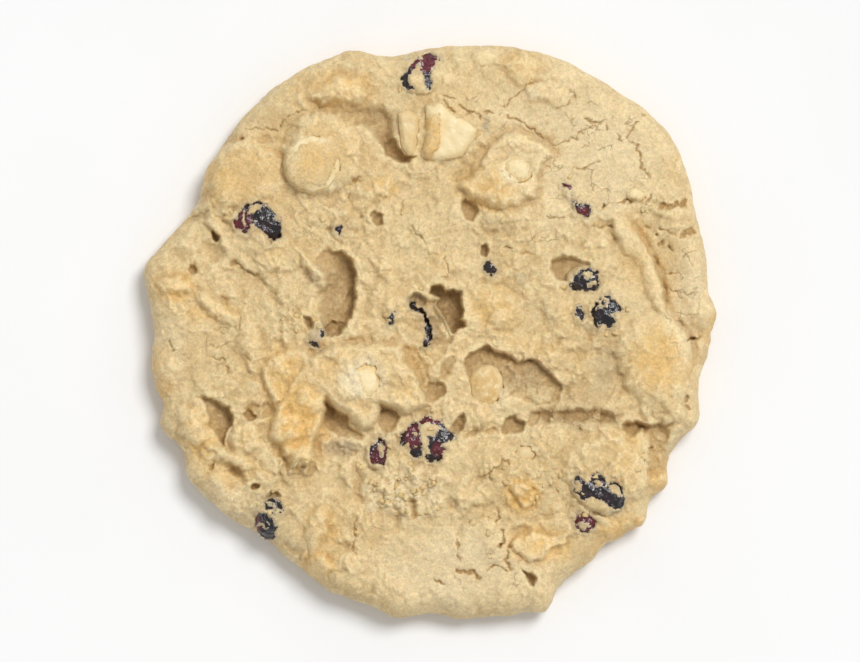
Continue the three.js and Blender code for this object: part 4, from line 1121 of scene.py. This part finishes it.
class Surface:
    """A node material, with short calls for the nodes that the surfaces below share. Sizes are in mm."""

    def __init__(self, name, roughness, specular):
        self.material = bpy.data.materials.new(name)
        self.material.use_nodes = True
        self.tree = self.material.node_tree
        self.shader = self.tree.nodes["Principled BSDF"]
        self.set("Roughness", roughness)
        self.set("Specular IOR Level", specular)
        self.place = self.tree.nodes.new("ShaderNodeTexCoord").outputs["Object"]

    def put(self, value, socket):
        if isinstance(value, bpy.types.NodeSocket):
            self.tree.links.new(value, socket)
        else:
            socket.default_value = value

    def set(self, name, value):
        self.put(value, self.shader.inputs[name])

    def node(self, kind, values, **settings):
        """A new node with its settings, and with values or links in its sockets."""
        node = self.tree.nodes.new("ShaderNode" + kind)
        for name, setting in settings.items():
            setattr(node, name, setting)
        for socket, value in values.items():
            self.put(value, node.inputs[socket])
        return node

    def texture(self, kind, size, place=None, **settings):
        """A pattern of the given size."""
        return self.node(kind, {"Vector": place or self.place, "Scale": 1 / (size * MM)}, **settings)

    def attribute(self, name):
        return self.node("Attribute", {}, attribute_name=name).outputs["Fac"]

    def wobbled(self, size, far):
        """Places moved about by a noise, so that what is drawn there has ragged edges."""
        waves = self.texture("TexNoise", size).outputs["Color"]
        values = {0: waves, 1: (2 * far * MM, 2 * far * MM, 2 * far * MM), 2: self.place}
        return self.node("VectorMath", values, operation="MULTIPLY_ADD").outputs["Vector"]

    def noise(self, size, detail=3, roughness=0.55):
        node = self.texture("TexNoise", size)
        self.put(detail, node.inputs["Detail"])
        self.put(roughness, node.inputs["Roughness"])
        return node.outputs["Fac"]

    def net(self, size, place):
        """Distance from the lines of a net."""
        return self.texture("TexVoronoi", size, place, feature="DISTANCE_TO_EDGE").outputs["Distance"]

    def shades(self, size, place):
        """A random value for each grain."""
        return self.texture("TexVoronoi", size, place).outputs["Color"]

    def spread(self, value, low, high, out_low=0, out_high=1):
        values = {"Value": value, "From Min": low, "From Max": high, "To Min": out_low, "To Max": out_high}
        return self.node("MapRange", values, interpolation_type="SMOOTHSTEP").outputs["Result"]

    def plus(self, first, second):
        return self.node("Math", {0: first, 1: second}, operation="ADD").outputs[0]

    def times(self, first, second):
        return self.node("Math", {0: first, 1: second}, operation="MULTIPLY").outputs[0]

    def mix(self, share, first, second, blend="MIX"):
        values = {0: share, 6: first, 7: second}
        return self.node("Mix", values, data_type="RGBA", blend_type=blend).outputs[2]

    def coated(self, colour, coats):
        """A colour with others laid over it, each by its share."""
        for share, coat in coats:
            colour = self.mix(share, colour, srgb(*coat))
        return colour

    def film(self):
        """A ragged smear of dough that thins out away from the marked edge."""
        reach = self.times(self.attribute("film"), 0.6)
        return self.spread(self.plus(reach, self.noise(0.6, 4, 0.7)), 0.94, 1.04)

    def bump(self, height, distance, below=None):
        node = self.node("Bump", {"Distance": distance * MM, "Height": height})
        if below is not None:
            self.put(below, node.inputs["Normal"])
        return node.outputs["Normal"]


def dough_material():
    """Baked dough: pale skin, browned tops, grey stains, hair cracks and a fine crumb, with painted light
    and shade.
    """
    skin_roughness = 0.62
    toast_roughness = 0.44
    surface = Surface("baked_dough", skin_roughness, 0.3)
    surface.set("Subsurface Weight", 0.3)
    surface.set("Subsurface Radius", (1, 0.55, 0.25))
    surface.set("Subsurface Scale", 0.9 * MM)
    broad = surface.spread(surface.noise(11, 4), 0.35, 0.65)
    mottled = surface.spread(surface.noise(3.6, 5, 0.65), 0.4, 0.66, 0, 0.35)
    patchy = surface.spread(surface.noise(3.4, 5, 0.6), 0.32, 0.6, 0.5, 1)
    toast = surface.times(surface.attribute("toast"), patchy)
    surface.set("Roughness", surface.spread(toast, 0, 1, skin_roughness, toast_roughness))
    uneven = surface.spread(surface.noise(1.7, 5, 0.65), 0.35, 0.65, 0.65, 1.2)
    hair = surface.spread(surface.net(4.2, surface.wobbled(1.6, 1.3)), 0.008, 0.03, 1, 0)
    broken = surface.spread(surface.noise(3.4, 2), 0.5, 0.58)
    hair = surface.times(surface.times(hair, broken), surface.attribute("crazed"))
    # The colour of painted shade in cracks and hair cracks.
    crack_shade_colour = (166, 126, 68)
    colour = surface.mix(broad, srgb(214, 186, 134), srgb(224, 200, 152))
    # Pale places carry painted highlights, and crests a painted highlight; small hollows, caves, grooves,
    # cracks and hair cracks get painted shade.
    colour = surface.coated(colour, [
        (mottled, (236, 214, 166)),
        (toast, (230, 189, 117)),
        (surface.attribute("pale"), (243, 226, 188)),
        (surface.times(surface.attribute("crest_highlight"), 0.5), (242, 222, 176)),
        (surface.times(surface.attribute("shade"), 0.4), (184, 148, 96)),
        (surface.attribute("stain"), (172, 156, 130)),
        (surface.times(surface.attribute("hollow_shade"), uneven), (150, 116, 70)),
        (surface.attribute("crack_shade"), crack_shade_colour),
        (surface.times(hair, 0.5), crack_shade_colour),
    ])
    grain = surface.spread(surface.noise(0.5, 3, 0.7), 0.25, 0.75, 0.85, 1.1)
    colour = surface.mix(1.0, colour, grain, "MULTIPLY")
    grains = surface.spread(surface.shades(0.7, surface.wobbled(0.5, 0.25)), 0, 1, 0.92, 1.08)
    colour = surface.mix(1.0, colour, grains, "MULTIPLY")
    # Small dark spots: painted shade of tiny pores.
    pore_shade = surface.spread(surface.noise(1.1, 6, 0.8), 0.63, 0.68, 0, 0.45)
    surface.set("Base Color", surface.mix(pore_shade, colour, srgb(178, 140, 88)))
    crumb = surface.bump(surface.noise(0.9, 4, 0.6), 0.2)
    fine = surface.bump(surface.noise(0.32, 3, 0.6), 0.16, crumb)
    surface.set("Normal", surface.bump(surface.spread(hair, 0, 1, 1, 0), 0.25, fine))
    return surface.material


def cranberry_material():
    """Dried berry skin: nearly black, dark red where it is thin, with a soft gloss, painted reflections and
    grey dusty patches.
    """
    surface = Surface("cranberry_skin", 0.22, 0.6)
    thin = surface.spread(surface.noise(2.4, 3), 0.42, 0.68)
    # Painted reflections: lighter patches that stand for the gloss of the skin.
    painted_sheen = surface.spread(surface.noise(1.5, 5, 0.65), 0.54, 0.64, 0, 0.3)
    patchy = surface.spread(surface.noise(1.2, 2), 0.3, 0.7, 0.5, 1)
    # Grey dusty patches on the skin, which also stand for painted glints.
    bloom_and_glints = surface.spread(surface.noise(0.8, 5, 0.75), 0.59, 0.65, 0, 0.6)
    colour = surface.mix(thin, srgb(18, 14, 17), srgb(40, 18, 25))
    colour = surface.coated(colour, [
        (painted_sheen, (96, 88, 94)),
        (surface.times(surface.attribute("red"), patchy), (104, 28, 38)),
        (bloom_and_glints, (168, 162, 164)),
        (surface.film(), (200, 186, 158)),
    ])
    surface.set("Base Color", colour)
    surface.set("Normal", surface.bump(surface.noise(1.3, 3, 0.5), 0.45))
    return surface.material


def chip_material():
    """White chocolate that has baked: cream, browned on top, satin."""
    surface = Surface("white_chocolate", 0.5, 0.4)
    broad = surface.spread(surface.noise(4, 3), 0.35, 0.65)
    patchy = surface.spread(surface.noise(2, 3), 0.3, 0.7, 0.4, 1)
    spotted = surface.spread(surface.noise(1.5, 5, 0.65), 0.54, 0.64, 0, 0.5)
    colour = surface.mix(broad, srgb(238, 219, 173), srgb(230, 206, 152))
    colour = surface.coated(colour, [
        (surface.times(surface.attribute("browned"), patchy), (210, 175, 114)),
        (spotted, (244, 230, 192)),
        (surface.film(), (222, 196, 146)),
    ])
    surface.set("Base Color", colour)
    surface.set("Normal", surface.bump(surface.noise(1.6, 3), 0.25))
    return surface.material


def seen_from_above(mesh):
    """Where the vertices of a mesh are on the grid, and how high."""
    places = np.zeros(3 * len(mesh.vertices))
    mesh.vertices.foreach_get("co", places)
    places = places.reshape(-1, 3) / MM
    return places[:, 0] + MIDDLE_X, places[:, 1] + MIDDLE_Y, places[:, 2]


def add_redness(mesh):
    """Marks the red places of a berry."""
    x, y, _ = seen_from_above(mesh)
    red = np.zeros(len(x))
    for middle, radii in RED_PLACES:
        red = np.maximum(red, 1 - smoothstep(0.5, 1.1, oval_distance(middle, radii, 0, x, y)))
    add_values(mesh, "red", red)


def add_film(mesh, width):
    """Marks where dough is smeared over the edge of a berry or chip."""
    x, y, _ = seen_from_above(mesh)
    add_values(mesh, "film", 1 - smoothstep(-0.1, width, sample(open_map, x, y)))


def add_browning(mesh, strength):
    """Marks the browned top of a chip, less so at its edge."""
    normals = np.zeros(3 * len(mesh.vertices))
    mesh.vertices.foreach_get("normal", normals)
    upward = normals.reshape(-1, 3)[:, 2]
    add_values(mesh, "browned", strength * smoothstep(0.55, 0.95, upward))


def berry_rims():
    """A field that is 1 along the edge of every place where a berry shows."""
    field = np.zeros(GRID_X.shape)
    for node in filter(is_berry, WINDOWS):
        for outline in WINDOWS[node]:
            area = around(outline, 4)
            at_least(field, area, bell(outline_distance(outline, WOBBLE_X[area], WOBBLE_Y[area]), 1.4))
    return field


# The height map of the dough.
rough_ground = np.maximum(spots(ROUGH), BERRY_TEAR * berry_rims())
height_map = base_height()
tear_ledges(height_map)
cut_map, hollow_shade_map = dig_hollows(height_map)
# More painted shade on ground that lies in shade.
hollow_shade_map = np.maximum(hollow_shade_map, spots(SHADED_GROUND))
cracked_map = open_cracks(height_map)
skin_map = np.maximum(spots(SKIN), HOLLOW_SKIN * smoothstep(0.6, 1.8, cut_map))
roughen(height_map, rough_ground, skin_map)

grid_radius = np.hypot(GRID_X, GRID_Y)
past_shoulder = (grid_radius - rim_radius(np.arctan2(GRID_Y, GRID_X)) + SHOULDER_WIDTH) / SHOULDER_WIDTH
rounding_map = (1 - np.clip(past_shoulder, 0, 0.98) ** SHOULDER_POWER) ** (1 / SHOULDER_POWER)
crest_map = height_map - blur(height_map, 1.2)
swell_map = height_map - blur(height_map, 4)

# The berries and chips, and the dough laid round them.
stain_map = spots(STAINED)
open_map = np.full(GRID_X.shape, -9.0)
berry_skin = cranberry_material()
white_chocolate = chip_material()
for node in sorted(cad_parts):
    if node == "dough":
        continue
    shape = make_inclusion(node)
    area, opened = open_windows(node, shape, height_map, rounding_map)
    at_least(open_map, area, opened)
    mesh = bpy.data.meshes.new(node + "_finish")
    shape.to_mesh(mesh)
    shape.free()
    if is_berry(node):
        at_least(stain_map, area, BERRY_STAIN * np.exp(-np.maximum(0, -opened) / STAIN_REACH))
        add_redness(mesh)
        add_film(mesh, BERRY_FILM)
        finish_piece(node + "_finish", mesh, node, berry_skin)
    else:
        add_browning(mesh, CHIP_BROWNING.get(node, 0.1))
        add_film(mesh, CHIP_FILM.get(node, 0.7))
        finish_piece(node + "_finish", mesh, node, white_chocolate)

for middle, radii, turn, thickness in FLAKES:
    height_map += thickness * pillow(inside_oval(middle, radii, turn, WOBBLE_X, WOBBLE_Y) / FLAKE_EDGE)

places, triangles = dough_rings(height_map)
places[:, 0] -= MIDDLE_X
places[:, 1] -= MIDDLE_Y
dough_mesh = thinned(mesh_from("dough_fine", places, triangles), DOUGH_TRIANGLES)
dough_x, dough_y, dough_z = seen_from_above(dough_mesh)
toast_map = np.maximum(spots(TOASTED), SWELL_TOAST * smoothstep(0.2, 1.4, swell_map))
foot_toast = FOOT_TOAST * (1 - smoothstep(0.4, FOOT_BROWNING, dough_z))
add_values(dough_mesh, "toast", np.maximum(sample(toast_map, dough_x, dough_y), foot_toast))
# Fields for the dough's colour: pale places with painted highlights, stains, painted shade in hollows,
# cracks and small hollows, crazed skin, and painted highlights on crests.
dough_fields = {
    "pale": spots(PALE_AND_HIGHLIGHTS),
    "stain": stain_map,
    "hollow_shade": HOLLOW_SHADE * hollow_shade_map,
    "crack_shade": CRACK_SHADE * cracked_map,
    "crazed": spots(CRAZED),
    "shade": smoothstep(0.05, 0.6, -crest_map),
    "crest_highlight": smoothstep(0, 0.5, crest_map),
}
for name, field in dough_fields.items():
    add_values(dough_mesh, name, sample(field, dough_x, dough_y))
baked_dough = dough_material()
finish_piece("dough_finish", dough_mesh, "dough", baked_dough)


def scatter_crumbs(count, seed):
    """Loose and half sunk angular crumbs on the torn ground, as one joined mesh."""
    draw = np.random.default_rng(seed)
    ground = rough_ground * (open_map < -0.8) * (past_shoulder < 0.3) * (cut_map < 0.5)
    places = []
    faces = []
    toasts = []
    made = 0
    while made < count:
        x, y = draw.uniform(-RIM_RADIUS, RIM_RADIUS, 2)
        spot = (np.array([x]), np.array([y]))
        if draw.uniform() > sample(ground, *spot)[0] ** 1.5:
            continue
        radii = draw.uniform(0.25, 0.7) * draw.uniform(0.7, 1.5, 3) * (1, 1, 0.6)
        z = WAIST_HEIGHT + (sample(height_map, *spot)[0] - WAIST_HEIGHT) * sample(rounding_map, *spot)[0]
        middle = np.array([x - MIDDLE_X, y - MIDDLE_Y, z])
        lump = bmesh.new()
        for corner in draw.normal(0, 1, (CRUMB_CORNERS, 3)):
            lump.verts.new(corner / np.linalg.norm(corner) * radii + middle)
        hull = bmesh.ops.convex_hull(lump, input=lump.verts)
        bmesh.ops.delete(lump, geom=hull["geom_interior"], context="VERTS")
        lump.verts.index_update()
        faces += [[v.index + len(places) for v in face.verts] for face in lump.faces]
        places += [tuple(v.co) for v in lump.verts]
        toasts += [0.5 * draw.uniform()] * len(lump.verts)
        lump.free()
        made += 1
    mesh = mesh_from("crumbs", np.array(places), np.array(faces))
    add_values(mesh, "toast", np.array(toasts))
    mesh.materials.append(baked_dough)
    crumbs = bpy.data.objects.new("crumbs", mesh)
    bpy.context.scene.collection.objects.link(crumbs)
    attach(crumbs, "root")


scatter_crumbs(CRUMB_COUNT, CRUMB_SEED)


def make_floor():
    """A plain pale floor, a hair below the foot."""
    half = 4.0
    lift = -0.00005
    mesh = bpy.data.meshes.new("floor")
    corners = [(-half, -half, lift), (half, -half, lift), (half, half, lift), (-half, half, lift)]
    mesh.from_pydata(corners, [], [(0, 1, 2, 3)])
    surface = Surface("pale_floor", 0.9, 0.1)
    mottle = surface.spread(surface.noise(60, 2), 0.3, 0.7)
    surface.set("Base Color", surface.mix(mottle, (0.86, 0.86, 0.86, 1), (0.88, 0.88, 0.88, 1)))
    mesh.materials.append(surface.material)
    floor = bpy.data.objects.new("floor", mesh)
    bpy.context.scene.collection.objects.link(floor)


def make_light():
    """A bright even dome, and a soft key from the far right."""
    world = bpy.data.worlds.new("dome")
    world.use_nodes = True
    dome = world.node_tree.nodes["Background"]
    dome.inputs["Color"].default_value = (1, 1, 1, 1)
    dome.inputs["Strength"].default_value = DOME_STRENGTH
    bpy.context.scene.world = world
    key = bpy.data.lights.new("key", "SUN")
    key.energy = KEY_STRENGTH
    key.angle = math.radians(KEY_SOFTNESS)
    lamp = bpy.data.objects.new("key", key)
    towards = Vector((-0.36, -0.42, -1.0))
    lamp.rotation_euler = towards.to_track_quat("-Z", "Y").to_euler()
    bpy.context.scene.collection.objects.link(lamp)


def make_camera():
    """Straight above the cookie, far enough away to flatten it as a long lens does."""
    distance = 2.0
    picture_width = 0.172
    camera_data = bpy.data.cameras.new("camera")
    camera_data.sensor_width = 36
    camera_data.lens = camera_data.sensor_width * (distance - WAIST_HEIGHT * MM) / picture_width
    camera_data.clip_end = 20
    camera = bpy.data.objects.new("camera", camera_data)
    camera.location = (-MIDDLE_X * MM, -MIDDLE_Y * MM, distance)
    bpy.context.scene.collection.objects.link(camera)
    bpy.context.scene.camera = camera


make_floor()
make_light()
make_camera()
bpy.context.scene.view_settings.view_transform = "Standard"
